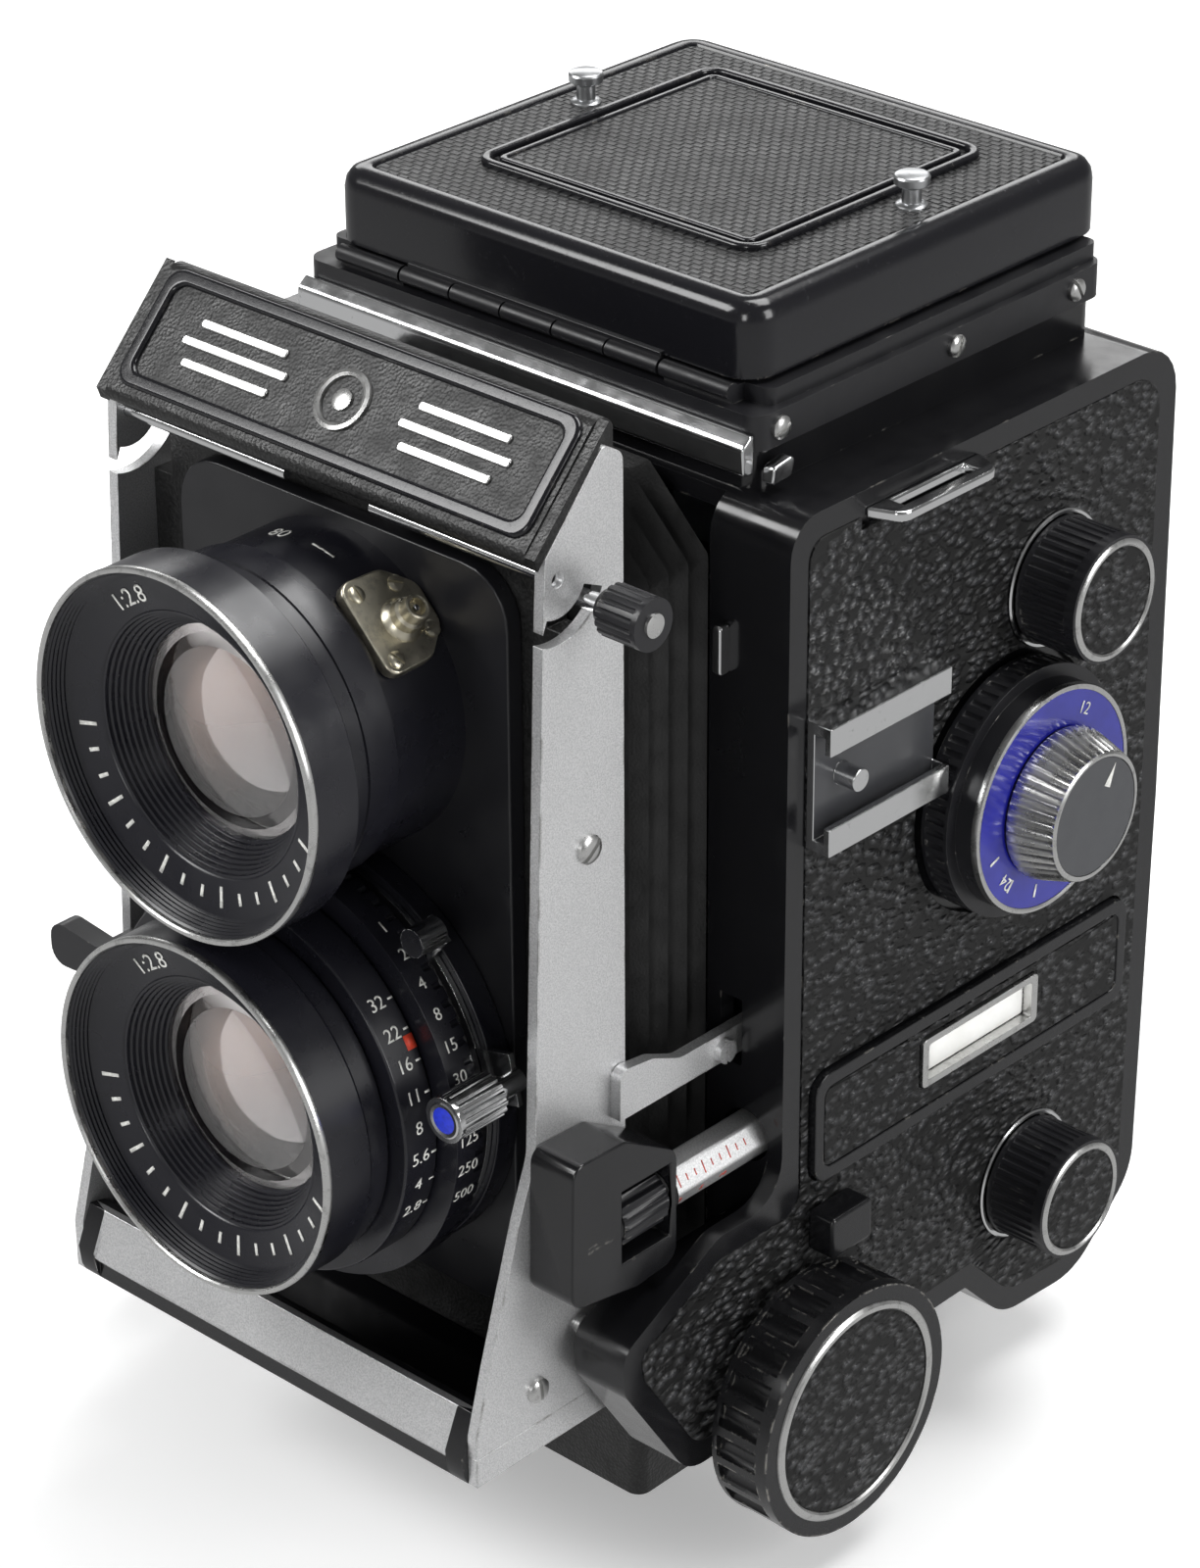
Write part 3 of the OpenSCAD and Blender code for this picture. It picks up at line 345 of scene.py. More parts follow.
def grey_gloss():
    made = Look("grey_gloss", "satin_black", (0.045, 0.046, 0.05), 0.2)
    made.vary("Base Color", (0.8, 6.0, 0.7), (0.70, (0.045, 0.046, 0.05)), (0.78, 0.2))
    made.vary("Roughness", (3.0, 4.0), (0.3, 0.14), (0.7, 0.26))
    made.grain(0.3, 2.0, 0.08, 0.02)


def inks():
    for name, slot, color in (("white_ink", "white_plate", (0.80, 0.80, 0.76)),
                              ("red_ink", "white_plate", (0.62, 0.05, 0.02)),
                              ("blue_ink", "blue_enamel", (0.01, 0.03, 0.55))):
        made = Look(name, slot, color, 0.5)
        made.vary("Base Color", (0.5, 4.0), (0.35, scaled(color, 0.72)), (0.6, color))
        made.grain(0.15, 2.0, 0.15, 0.02)


def white_plate():
    made = Look("white_plate", "white_plate", (0.90, 0.90, 0.88), 0.25)
    made.vary("Base Color", (4.0, 3.0), (0.3, (0.84, 0.84, 0.81)), (0.7, (0.92, 0.92, 0.90)))
    made.grain(0.8, 2.0, 0.05, 0.03)


def glass_looks():
    made = Look("lens_glass", "lens_glass", (0.97, 0.95, 0.95), 0.01, Transmission_Weight=1.0, IOR=1.5)
    made.vary("Roughness", (2.0, 6.0, 0.7), (0.6, 0.004), (0.85, 0.03))
    core = Look("lens_core", "lens_glass", (0.13, 0.10, 0.09), 0.08, Coat_Weight=1.0,
                Coat_Roughness=0.02)
    # Painted reflection: the core runs from near black at the lower right to pale brown at the upper left.
    painted_light = core.ramp(core.slope((-0.62, 0.0, 0.78), 0.45), (0.20, (0.006, 0.004, 0.004)),
                      (0.50, (0.085, 0.054, 0.042)), (0.85, (0.26, 0.19, 0.16)))
    core.drive("Base Color", painted_light)
    core.grain(6.0, 2.0, 0.05, 0.05)
    arc = Look("lens_arc", "lens_glass", (0.80, 0.78, 0.77), 0.1, 0.2, Coat_Weight=1.0)
    # Painted highlight: the band is near black low down and near white at its top.
    painted_light = arc.ramp(arc.slope((0.20, 0.0, 0.97), 0.50), (0.52, (0.006, 0.005, 0.005)),
                     (0.80, (0.05, 0.035, 0.03)), (0.94, (0.75, 0.73, 0.72)))
    arc.drive("Base Color", painted_light)
    screen = Look("screen_glass", "lens_glass", (0.72, 0.76, 0.77), 0.45, Transmission_Weight=0.3)
    screen.bump(screen.cells(0.3), 0.2, 0.03)
    mirror = Look("mirror_silver", "mirror_silver", (0.86, 0.87, 0.88), 0.03, 1.0)
    mirror.vary("Roughness", (6.0, 5.0), (0.4, 0.02), (0.9, 0.12))


def build_looks():
    for build in (worn_paints, crinkle_paint, barrel_black, hood_sheet, leatherette, weave, bellows_skin,
                  satin_silver, blue_enamel, grey_face, grey_gloss, inks, white_plate, glass_looks):
        build()
    metal("chrome", "chrome", (0.74, 0.745, 0.75), 0.08, 0.24, 0.5, 0.015)
    metal("worn_chrome", "chrome", (0.66, 0.66, 0.65), 0.2, 0.38, 0.25, 0.02, (0.55, 0.72))
    metal("steel", "steel", (0.56, 0.57, 0.58), 0.26, 0.4, 0.3, 0.02)
    metal("brass", "brass", (0.66, 0.62, 0.50), 0.26, 0.42, 0.25, 0.02, (0.50, 0.68))


# ---- Mesh building ----

BEVEL_FROM = 32
SPLIT_FROM = 34
WELD_DIST = 0.002
INK_THICK = 0.05


def around(centre, radius, angle):
    """The point at an angle and a distance from a centre."""
    return (centre[0] + radius * math.cos(angle), centre[1] + radius * math.sin(angle))


def corner_arc(before, at, after, steps):
    """Points of one rounded corner. The third number of at is its radius."""
    a = Vector((before[0] - at[0], before[1] - at[1])).normalized()
    b = Vector((after[0] - at[0], after[1] - at[1])).normalized()
    half = math.acos(max(-1.0, min(1.0, a.dot(b)))) / 2
    tip = Vector(at[:2])
    centre = tip + (a + b).normalized() * (at[2] / math.sin(half))
    first = tip + a * (at[2] / math.tan(half)) - centre
    last = tip + b * (at[2] / math.tan(half)) - centre
    start = math.atan2(first.y, first.x)
    turn = (math.atan2(last.y, last.x) - start + 3 * math.pi) % TAU - math.pi
    return [around(centre, at[2], start + turn * i / steps) for i in range(steps + 1)]


def rounded(points, steps=6):
    count = len(points)
    made = []
    for i, at in enumerate(points):
        if at[2] > 0:
            made += corner_arc(points[i - 1], at, points[(i + 1) % count], steps)
        else:
            made.append((at[0], at[1]))
    return made


def box_outline(a0, b0, a1, b1, radius, steps=6):
    return rounded([(a0, b0, radius), (a1, b0, radius), (a1, b1, radius), (a0, b1, radius)], steps)


def point_on(axis, along, pair):
    """A point with one coordinate along the axis and the other two in x, y, z order."""
    if axis == "x":
        return (along, pair[0], pair[1])
    if axis == "y":
        return (pair[0], along, pair[1])
    return (pair[0], pair[1], along)


def new_object(name, data):
    made = bpy.data.objects.new(name, data)
    bpy.context.scene.collection.objects.link(made)
    return made


def split_edges(piece, degrees):
    split = piece.modifiers.new("edges", "EDGE_SPLIT")
    split.split_angle = math.radians(degrees)


def settle(piece, bevel, segments):
    """Rounds the sharp edges, or only splits the shading there."""
    if bevel <= 0:
        split_edges(piece, SPLIT_FROM)
        return
    cut = piece.modifiers.new("edges", "BEVEL")
    cut.width = bevel * MM
    cut.segments = segments
    cut.limit_method = "ANGLE"
    cut.angle_limit = math.radians(BEVEL_FROM)
    cut.use_clamp_overlap = True
    even = piece.modifiers.new("normals", "WEIGHTED_NORMAL")
    even.keep_sharp = False
    even.weight = 80


def mesh_piece(name, points, faces, look_name, weld=True):
    """A smooth piece from points in millimetres, with its material."""
    mesh = bpy.data.meshes.new(name)
    mesh.from_pydata([tuple(Vector(p) * MM) for p in points], [], faces)
    work = bmesh.new()
    work.from_mesh(mesh)
    if weld:
        bmesh.ops.remove_doubles(work, verts=work.verts, dist=WELD_DIST * MM)
    bmesh.ops.recalc_face_normals(work, faces=work.faces)
    for face in work.faces:
        face.smooth = True
    work.to_mesh(mesh)
    work.free()
    mesh.materials.append(LOOKS[look_name].mat)
    piece = new_object(name, mesh)
    return piece


def add_piece(name, points, faces, look_name, body, bevel=0.0, segments=2, at=None, stands_for=()):
    if at is not None:
        points = [at @ Vector(p) for p in points]
    piece = mesh_piece(name, points, faces, look_name)
    settle(piece, bevel, segments)
    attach(piece, body)
    if stands_for:
        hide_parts(*stands_for)
    return piece


def loops_to_faces(loops, count, closed):
    """Quads between successive loops of the same number of points."""
    faces = []
    last = loops if closed else loops - 1
    for i in range(last):
        for j in range(count):
            k = (j + 1) % count
            a = i * count
            b = ((i + 1) % loops) * count
            faces.append((a + j, a + k, b + k, b + j))
    return faces


def shifted(base, pairs, way=1):
    """(along, radius) points whose distances are counted from base, forwards or backwards."""
    return [(base + way * along, radius) for along, radius in pairs]


def lathe(name, profile, centre, axis, look_name, body, steps=96, ripple=None, **more):
    """Revolves (along, radius) points. A profile that ends on the axis isn't closed back to its start.

    ripple = (count, depth, low, high, radius) cuts flutes between low and high, where the
    profile is wider than radius.
    """
    if ripple:
        count, depth, low, high, least = ripple
        steps = count * 8
    points = []
    for along, radius in profile:
        for j in range(steps):
            angle = TAU * j / steps
            r = radius
            if ripple and low <= along <= high and radius > least:
                r -= depth * (0.5 - 0.5 * math.cos(angle * count)) ** 0.7
            points.append(point_on(axis, along, around(centre, r, angle)))
    faces = loops_to_faces(len(profile), steps, profile[-1][1] > 0)
    return add_piece(name, points, faces, look_name, body, **more)


def prism(name, outline, axis, low, high, look_name, body, bevel=0.2, **more):
    count = len(outline)
    points = [point_on(axis, low, p) for p in outline] + [point_on(axis, high, p) for p in outline]
    faces = [tuple(range(count)), tuple(range(2 * count - 1, count - 1, -1))]
    faces += loops_to_faces(2, count, False)
    return add_piece(name, points, faces, look_name, body, bevel, **more)


def rim(name, outer, inner, axis, low, high, look_name, body, bevel=0.15, **more):
    """A flat frame between two outlines that have the same number of points."""
    loops = [(outer, low), (outer, high), (inner, high), (inner, low)]
    points = [point_on(axis, along, p) for outline, along in loops for p in outline]
    faces = loops_to_faces(4, len(outer), True)
    return add_piece(name, points, faces, look_name, body, bevel, **more)


def glyph(text, size):
    """Flat triangles of a piece of text, centred, in millimetres."""
    curve = bpy.data.curves.new("glyph", "FONT")
    curve.body = text
    curve.size = size
    curve.align_x = "CENTER"
    curve.align_y = "CENTER"
    curve.resolution_u = 3
    holder = new_object("glyph", curve)
    graph = bpy.context.evaluated_depsgraph_get()
    mesh = bpy.data.meshes.new_from_object(holder.evaluated_get(graph))
    points = [(v.co.x, v.co.y) for v in mesh.vertices]
    faces = [tuple(p.vertices) for p in mesh.polygons]
    bpy.data.objects.remove(holder)
    bpy.data.meshes.remove(mesh)
    bpy.data.curves.remove(curve)
    return points, faces


def bar(width, height):
    """A flat rectangle, to go with the glyphs."""
    return ([(-width / 2, -height / 2), (width / 2, -height / 2), (width / 2, height / 2),
             (-width / 2, height / 2)], [(0, 1, 2, 3)])


def marks(name, items, look_name, body, **more):
    """One mesh of flat shapes, each carried to its place by a function of its two coordinates."""
    points = []
    faces = []
    for (flat, shape_faces), carry in items:
        base = len(points)
        points += [carry(x, y) for x, y in flat]
        faces += [tuple(base + i for i in face) for face in shape_faces]
    piece = add_piece(name, points, faces, look_name, body, **more)
    thick = piece.modifiers.new("thickness", "SOLIDIFY")
    thick.thickness = INK_THICK * MM
    thick.offset = 0
    return piece


def round_ring(centre_z, radius, y, degrees):
    """Carries text onto a lens ring: it reads from the front to the back."""
    def carry(a, b):
        angle = math.radians(degrees) + b / radius
        return (radius * math.cos(angle), y + a, centre_z + radius * math.sin(angle))
    return carry


def turn_text(centre_z, radius, y, degrees):
    """Carries text round a barrel: it reads round the axis, with its top towards the body."""
    carry = round_ring(centre_z, radius, y, degrees)
    return lambda a, b: carry(b, -a)


def on_cone(centre_z, radius, y, slope, degrees):
    """Carries text onto a ring that is read from the front, with its top outward."""
    def carry(a, b):
        angle = math.radians(degrees) - a / radius
        r = radius + b
        return (r * math.cos(angle), y - slope * b, centre_z + r * math.sin(angle))
    return carry


def dress(node, look_name=None, bevel=0.2, segments=2, paints=()):
    """Gives a kept CAD node its materials, smooth shading and rounded edges."""
    piece = frame["nodes"][node]
    mesh = piece.data
    names = [look_name or NODE_SLOT[node]] + [name for name, test in paints]
    mesh.materials.clear()
    for name in names:
        mesh.materials.append(LOOKS[name].mat)
    for extra in ("custom_normal", "sharp_edge", "sharp_face"):
        found = mesh.attributes.get(extra)
        if found:
            mesh.attributes.remove(found)
    for face in mesh.polygons:
        face.use_smooth = True
        face.material_index = 0
        centre = face.center / MM
        for i, (name, test) in enumerate(paints, 1):
            if test(centre, face.normal):
                face.material_index = i
    weld = piece.modifiers.new("weld", "WELD")
    weld.merge_threshold = 0.003 * MM
    flat = piece.modifiers.new("flat", "DECIMATE")
    flat.decimate_type = "DISSOLVE"
    flat.angle_limit = math.radians(0.5)
    flat.delimit = {"MATERIAL"}
    settle(piece, bevel, segments)
    return piece


# ---- Lenses ----

LENS_X = 0.0
FACE_Y = corners("taking_barrel")[0].y
BEZEL_R = corners("taking_barrel")[1].x
VIEW_Z = middle("viewing_barrel").z
TAKE_Z = middle("taking_barrel").z
THREADS = 5
RIBS = 8
APEX = 6.6
GLASS_R = 13.9
DOME_R = 40.0
CORE_EDGE = 13.2
CORE_R = 26.0
DOME_RINGS = 14
RING_TEXT_R = 19.4
RING_DEPTH = 3.93
RING_SLOPE = 0.2
RING_TEXT = 3.3


def lens_part(name, profile, z, look_name, steps=96, **more):
    """A turned part on a lens axis. Its distances are counted back from the front rim."""
    return lathe(name, shifted(FACE_Y, profile), (LENS_X, z), "y", look_name, "standard", steps, **more)


def lens_throat():
    """Inside of a lens front from the glass out to the rim: ribs, plain ring, filter thread."""
    made = [(12.5, 13.4), (9.7, 13.7)]
    for i in range(RIBS):
        depth = 9.6 - 0.62 * i
        radius = 13.8 + 0.4 * i
        made += [(depth, radius), (depth - 0.5, radius + 0.06), (depth - 0.58, radius + 0.36)]
    made += [(4.55, 17.05), (4.4, 17.3), (3.55, 21.55)]
    for i in range(THREADS):
        depth = 3.4 - 0.52 * i
        radius = 21.8 + 0.18 * i
        made += [(depth, radius), (depth - 0.2, radius + 0.28), (depth - 0.34, radius + 0.28)]
    return made + [(0.75, 23.05)]


def dome(apex, curve, edge):
    """Points of a round lens surface, from its middle out to its edge."""
    radii = [edge * i / DOME_RINGS for i in range(DOME_RINGS + 1)]
    return [(apex + curve - math.sqrt(curve ** 2 - r * r), r) for r in radii]


def glass_stack(prefix, z):
    """Clear front element, with a band behind it whose top is a painted highlight, and behind that a core
    painted with a reflection that runs from dark at the lower right to pale brown at the upper left.
    """
    front = dome(APEX, DOME_R, GLASS_R)
    front += [(APEX + 4.4, GLASS_R), (APEX + 4.0, GLASS_R * 0.6), (APEX + 3.8, 0.0)]
    glass = lens_part(prefix + "_front_element", front, z, "lens_glass",
                      stands_for=(prefix + "_glass",))
    glass.visible_shadow = False
    band = [(4.6, 13.3), (4.5, 12.9), (3.9, 10.9), (3.8, 10.6), (4.1, 10.5), (5.0, 12.9)]
    lens_part(prefix + "_inner_band", shifted(APEX, band), z, "lens_arc")
    core = dome(APEX + 4.9, CORE_R, CORE_EDGE)
    core += [(APEX + 9.3, CORE_EDGE), (APEX + 9.3, 0.0)]
    lens_part(prefix + "_inner_element", core, z, "lens_core")


def ring_numbers(prefix, z):
    """Generic figures and ticks in place of a name."""
    shapes = [(glyph("1:2.8", RING_TEXT), 122), (glyph("80", RING_TEXT), 58)]
    for degrees in range(190, 350, 10):
        shapes.append((bar(0.5, 2.6 if degrees % 30 == 10 else 1.5), degrees))
    items = [(shape, on_cone(z, RING_TEXT_R, FACE_Y + RING_DEPTH, RING_SLOPE, degrees))
             for shape, degrees in shapes]
    marks(prefix + "_ring_marks", items, "white_ink", "standard")


def lens(prefix, z, rear):
    """One lens with its rim, glass and figures. rear is the barrel's outside behind the bezel."""
    outer = [(1.05, BEZEL_R - 0.1), (7.5, BEZEL_R - 0.05)] + rear + [(12.9, 16.0)]
    lens_part(prefix + "_lens_barrel", outer + lens_throat(), z, "barrel_black", 128,
              stands_for=(prefix + "_barrel",))
    rim_edge = [(1.0, 23.1), (0.25, 23.08), (0.02, 23.25), (0.0, 23.5), (0.1, BEZEL_R - 0.12),
                (0.4, BEZEL_R), (0.85, BEZEL_R), (1.05, BEZEL_R - 0.06)]
    lens_part(prefix + "_rim", rim_edge, z, "worn_chrome", 128)
    glass_stack(prefix, z)
    ring_numbers(prefix, z)


def viewing_lens():
    end = corners("viewing_barrel")[1].y - FACE_Y
    lens("viewing", VIEW_Z, [(8.0, 23.3), (8.05, 21.9), (8.4, 21.3), (11.6, 21.3), (11.72, 21.05),
                             (11.9, 21.05), (12.02, 21.3), (16.6, 21.3), (16.9, 20.8),
                             (17.2, 20.78), (end, 20.8), (end, 16.0)])
    numbers = [(glyph("80", 3.0), turn_text(VIEW_Z, 20.84, -55.6, 100)),
               (bar(0.3, 2.2), round_ring(VIEW_Z, 20.84, -55.4, 82)),
               (bar(0.3, 2.2), round_ring(VIEW_Z, 20.84, -55.4, 78))]
    marks("viewing_barrel_marks", numbers, "white_ink", "standard")


def taking_lens():
    end = corners("taking_barrel")[1].y - FACE_Y
    lens("taking", TAKE_Z, [(8.0, 23.5), (8.1, 23.2), (end - 0.15, 23.2), (end, 23.0), (end, 16.0)])


APERTURES = ("32", "22", "16", "11", "8", "5.6", "4", "2.8")
SPEEDS = ("1", "2", "4", "8", "15", "30", "60", "125", "250", "500")
APERTURE_FIRST, APERTURE_STEP = 43, 9.2
SPEED_FIRST, SPEED_STEP = 58.5, 8.3
INK_GAP = 0.04
COCKING_REACH = 33.0
COCKING_ANGLE = math.radians(13.5)
SYNC_Y = -55.2
SYNC_PIN_AT = (0.6, 0.4)


def dial_numbers():
    edge = corners("aperture_ring")[1]
    radius = edge.x + INK_GAP
    items = []
    for i, text in enumerate(APERTURES):
        degrees = APERTURE_FIRST - APERTURE_STEP * i
        items.append((glyph(text, 2.5), round_ring(TAKE_Z, radius, edge.y - 2.9, degrees)))
        items.append((bar(0.8, 0.28), round_ring(TAKE_Z, radius, edge.y - 0.7, degrees)))
    marks("aperture_numbers", items, "white_ink", "aperture_dial")
    low, high = corners("speed_ring")
    items = [(glyph(text, 2.3), round_ring(TAKE_Z, high.x + INK_GAP, low.y + 2.0,
                                           SPEED_FIRST - SPEED_STEP * i))
             for i, text in enumerate(SPEEDS)]
    marks("speed_numbers", items, "white_ink", "speed_dial")
    index = [(bar(1.5, 1.9), round_ring(TAKE_Z, edge.x + 0.05, edge.y - 0.9, 30))]
    marks("aperture_index", index, "red_ink", "aperture_dial")


def shutter():
    dress("shutter_housing", "barrel_black", 0.3)
    dress("speed_ring", "barrel_black", 0.15)
    dress("aperture_ring", "barrel_black", 0.35, 3)
    dress("cocking_lever", "chrome", 0.15)
    dress("sync_lever", "chrome", 0.15)
    dress("release_lever", "satin_black", 0.5, 3)
    dial_numbers()
    tip_y = corners("cocking_lever")[0].y
    tip = around((LENS_X, TAKE_Z), COCKING_REACH, COCKING_ANGLE)
    cap = [(0.4, 2.5), (0.02, 2.45), (-0.12, 2.2), (-0.06, 1.75), (0.3, 1.7)]
    lathe("cocking_tip", shifted(tip_y, cap), tip, "y", "chrome", "cocking", 40)
    dot = [(0.3, 1.75), (-0.05, 1.72), (-0.16, 1.2), (-0.2, 0.0)]
    lathe("cocking_dot", shifted(tip_y, dot), tip, "y", "blue_ink", "cocking", 40)


def sync_socket():
    """Plate with four screws and a coaxial contact, on the viewing lens barrel."""
    at = Matrix.Translation((LENS_X, SYNC_Y, VIEW_Z)) @ Matrix.Rotation(math.radians(45), 4, "Y")
    plate = rounded([(-6.4, -5.4, 1.8), (6.4, -5.4, 1.8), (6.2, 1.6, 2.8), (2.8, 5.5, 2.6),
                     (-2.8, 5.5, 2.6), (-6.2, 1.6, 2.8)], 5)
    prism("sync_plate", plate, "z", 20.3, 22.0, "brass", "standard", 0.3, at=at,
          stands_for=("sync_socket",))
    lathe("sync_collar", [(21.9, 0.0), (21.9, 2.9), (22.3, 2.8), (22.9, 2.2), (24.0, 2.1),
                          (24.3, 1.75), (25.8, 1.65), (25.9, 1.4), (25.8, 1.1), (24.6, 1.0),
                          (24.6, 0.0)], SYNC_PIN_AT, "z", "brass", "standard", 48, at=at)
    lathe("sync_pin", [(24.6, 0.0), (24.6, 0.42), (25.5, 0.4), (25.6, 0.0)], SYNC_PIN_AT, "z",
          "chrome", "standard", 20, at=at)
    for i, spot in enumerate(((-4.4, -3.5), (4.6, -3.5), (-3.7, 2.5), (3.0, 3.6))):
        slot_screw(f"sync_screw_{i + 1}", spot, 21.9, 1.1, 0.45, "z", "brass", "standard", 30 * i, at)


def slot_screw(name, centre, base, radius, height, axis, look_name, body, degrees, at=None, way=1):
    """A screw head on a round foot: two domed half discs either side of a real slot."""
    half_slot = radius * 0.16
    levels = ((0.0, 1.0), (0.55, 1.0), (0.85, 0.82), (1.0, 0.45))
    steps = 12
    points = []
    faces = []
    for side in (-1, 1):
        base_index = len(points)
        for up, share in levels:
            r = radius * share
            first = math.asin(min(1.0, half_slot / r))
            for j in range(steps + 1):
                angle = first + (math.pi - 2 * first) * j / steps
                local = Vector((r * math.cos(angle), side * r * math.sin(angle)))
                turned = Matrix.Rotation(math.radians(degrees), 2) @ local
                pair = (centre[0] + turned.x, centre[1] + turned.y)
                points.append(point_on(axis, base + way * up * height, pair))
        faces += [tuple(base_index + i for i in face)
                  for face in loops_to_faces(len(levels), steps + 1, False)]
        top = base_index + (len(levels) - 1) * (steps + 1)
        faces.append(tuple(range(top, top + steps + 1)))
        faces.append(tuple(range(base_index + steps, base_index - 1, -1)))
    foot = len(points)
    sides = 24
    for up in (0.0, 0.42):
        for j in range(sides):
            pair = around(centre, radius * 0.97, TAU * j / sides)
            points.append(point_on(axis, base + way * up * height, pair))
    faces += [tuple(foot + i for i in face) for face in loops_to_faces(2, sides, False)]
    faces += [tuple(range(foot, foot + sides)), tuple(range(foot + sides, foot + 2 * sides))]
    return add_piece(name, points, faces, look_name, body, at=at)


# ---- Front standard ----

BAIL_AT = (-45.3, 142.0)
ROD_AT = (40.9, 59.0)
PLEATS = 7
PLEAT_STEPS = 12
PLEAT_DEPTH = 3.3


def cover_frame():
    """Border and generic ornament on the sloping face of the top cover."""
    foot = Vector((0, -54.0, 150.4))
    head = Vector((0, -41.6, 163.4))
    up = (head - foot).normalized()
    out = Vector((0, -up.z, up.y))
    long = (head - foot).length
    at = Matrix(((1, 0, 0, 0), (0, up.y, out.y, foot.y), (0, up.z, out.z, foot.z), (0, 0, 0, 1)))
    rim("cover_border", box_outline(-34.6, 1.0, 34.6, long - 0.8, 2.4),
        box_outline(-32.6, 2.9, 32.6, long - 2.7, 1.8), "z", -0.4, 0.75, "lid_paint", "standard",
        0.85, segments=5, at=at)
    mid = long / 2
    for i, (x0, x1) in enumerate(((-27.5, -9.5), (9.5, 27.5))):
        for j, level in enumerate((-2.7, 0.0, 2.7)):
            trim = 1.6 * abs(j - 1)
            prism(f"cover_bar_{i + 1}_{j + 1}", box_outline(x0 + trim, mid + level - 0.62,
                  x1 - trim, mid + level + 0.62, 0.5), "z", -0.2, 0.55, "worn_chrome",
                  "standard", 0.2, at=at)
    lathe("cover_ring", [(-0.2, 3.0), (0.5, 3.1), (0.65, 3.5), (0.5, 4.0), (-0.2, 4.1)],
          (0, mid), "z", "worn_chrome", "standard", 64, at=at)
    lathe("cover_boss", [(-0.2, 0.0), (-0.2, 1.5), (0.45, 1.4), (0.62, 0.8), (0.65, 0.0)],
          (0, mid), "z", "worn_chrome", "standard", 40, at=at)


def front_standard():
    dress("side_plates", "satin_silver", 0.3, 3)
    dress("front_panel", "crinkle_paint", 0.3)
    dress("front_sill", "satin_silver", 0.2, 2,
          [("gloss_paint", lambda c, n: abs(c.x) > 32.45 or c.y > -63.9 or c.z < 29.15)])
    dress("rack_rails", "satin_silver", 0.08, 1)
    dress("top_cover", "crinkle_paint", 0.5, 3)
    dress("parallax_arm", "satin_silver", 0.2)
    dress("scale_housing", "gloss_paint", 0.8, 3)
    dress("lens_board", "satin_black", 0.6, 3)
    dress("lens_bail", "chrome", 0.12, 2, [("satin_black", lambda c, n: c.x > 39.75)])
    cover_frame()
    plate_x = corners("side_plates")[1].x
    spots = ((-45.6, 109.1, 1.9), (-55.7, 36.1, 1.7), (-42.7, 35.8, 1.6), (-47.4, 41.8, 1.3))
    for side, label in ((1, "right"), (-1, "left")):
        for i, (y, z, radius) in enumerate(spots):
            made = slot_screw(f"plate_screw_{label}_{i + 1}", (y, z), side * plate_x, radius,
                              0.9, "x", "worn_chrome", "standard", 40 + 55 * i, way=side)
            if side == 1 and i == 0:
                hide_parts("standard_screws")
    knob_end = corners("lens_bail")[1].x
    cap = [(-0.3, 0.0), (-0.3, 1.6), (0.35, 1.5), (0.5, 0.9), (0.5, 0.0)]
    lathe("bail_pin_cap", shifted(knob_end, cap), BAIL_AT, "x", "worn_chrome", "bail", 32)


def scale_parts():
    low, high = corners("scale_rod")
    sides = [around(ROD_AT, 3.25, math.radians(degrees)) for degrees in range(0, 360, 60)]
    prism("distance_rod", sides, "y", low.y + 0.2, high.y, "satin_silver", "scale", 0.35,
          segments=3, stands_for=("scale_rod",))
    wheel = [(-47.3, 0.0), (-47.3, 3.4), (-46.9, 3.8), (-39.6, 3.8), (-39.2, 3.4), (-39.2, 0.0)]
    lathe("distance_wheel", wheel, ROD_AT, "y", "satin_black", "scale",
          ripple=(16, 0.55, -46.95, -39.5, 3.6))
    items = []
    for i in range(9):
        y = -36.4 + 1.55 * i
        tall = 1.7 if i % 3 == 0 else 0.9
        items.append((bar(0.16, tall), facet_carry(30, y)))
    for i, text in enumerate(("3", "5", "10")):
        items.append((glyph(text, 1.3), facet_carry(-30, -36.2 + 4.0 * i)))
    marks("distance_marks", items, "red_ink", "scale")


def facet_carry(degrees, y):
    """Carries a shape onto one flat of the distance rod."""
    angle = math.radians(degrees)
    out = Vector((math.cos(angle), 0, math.sin(angle)))
    side = Vector((-math.sin(angle), 0, math.cos(angle)))
    base = Vector((ROD_AT[0], y, ROD_AT[1])) + out * 2.84

    def carry(a, b):
        p = base + side * b + Vector((0, a, 0))
        return (p.x, p.y, p.z)
    return carry


def bellows():
    """A closed pleated tube of two layers, running from the standard to the body."""
    low, high = corners("bellows")
    rows = PLEATS * PLEAT_STEPS
    points = []
    for inset in (0.0, 0.9):
        for i in range(rows + 1):
            t = i / rows
            y = low.y + 0.02 + (high.y - low.y - 0.04) * t
            phase = t * PLEATS % 1.0
            wave = abs(2 * phase - 1)
            fold = PLEAT_DEPTH * (0.08 + 0.92 * (wave ** 0.85))
            half = high.x - 0.05 - fold - inset
            bottom = low.z + 0.05 + fold + inset
            top = high.z - 0.05 - fold - inset
            cut = 9.5 + 0.9 * math.cos(math.pi * phase)
            loop = rounded([(-half, bottom, 1.6), (half, bottom, 1.6), (half, top - cut, 1.2),
                            (half - cut, top, 1.2), (-half + cut, top, 1.2),
                            (-half, top - cut, 1.2)], 3)
            points += [point_on("y", y, p) for p in subdivide_loop(loop, 6.0)]
    inner = len(points) // 2
    count = inner // (rows + 1)
    end = rows * count
    faces = loops_to_faces(rows + 1, count, False)
    faces += [tuple(inner + i for i in reversed(face)) for face in faces]
    for j in range(count):
        k = (j + 1) % count
        faces.append((j, k, inner + k, inner + j))
        faces.append((end + j, end + k, inner + end + k, inner + end + j))
    piece = mesh_piece("bellows_pleats", points, faces, "bellows_skin", weld=False)
    split_edges(piece, 50)
    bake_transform(piece)
    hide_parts("bellows")


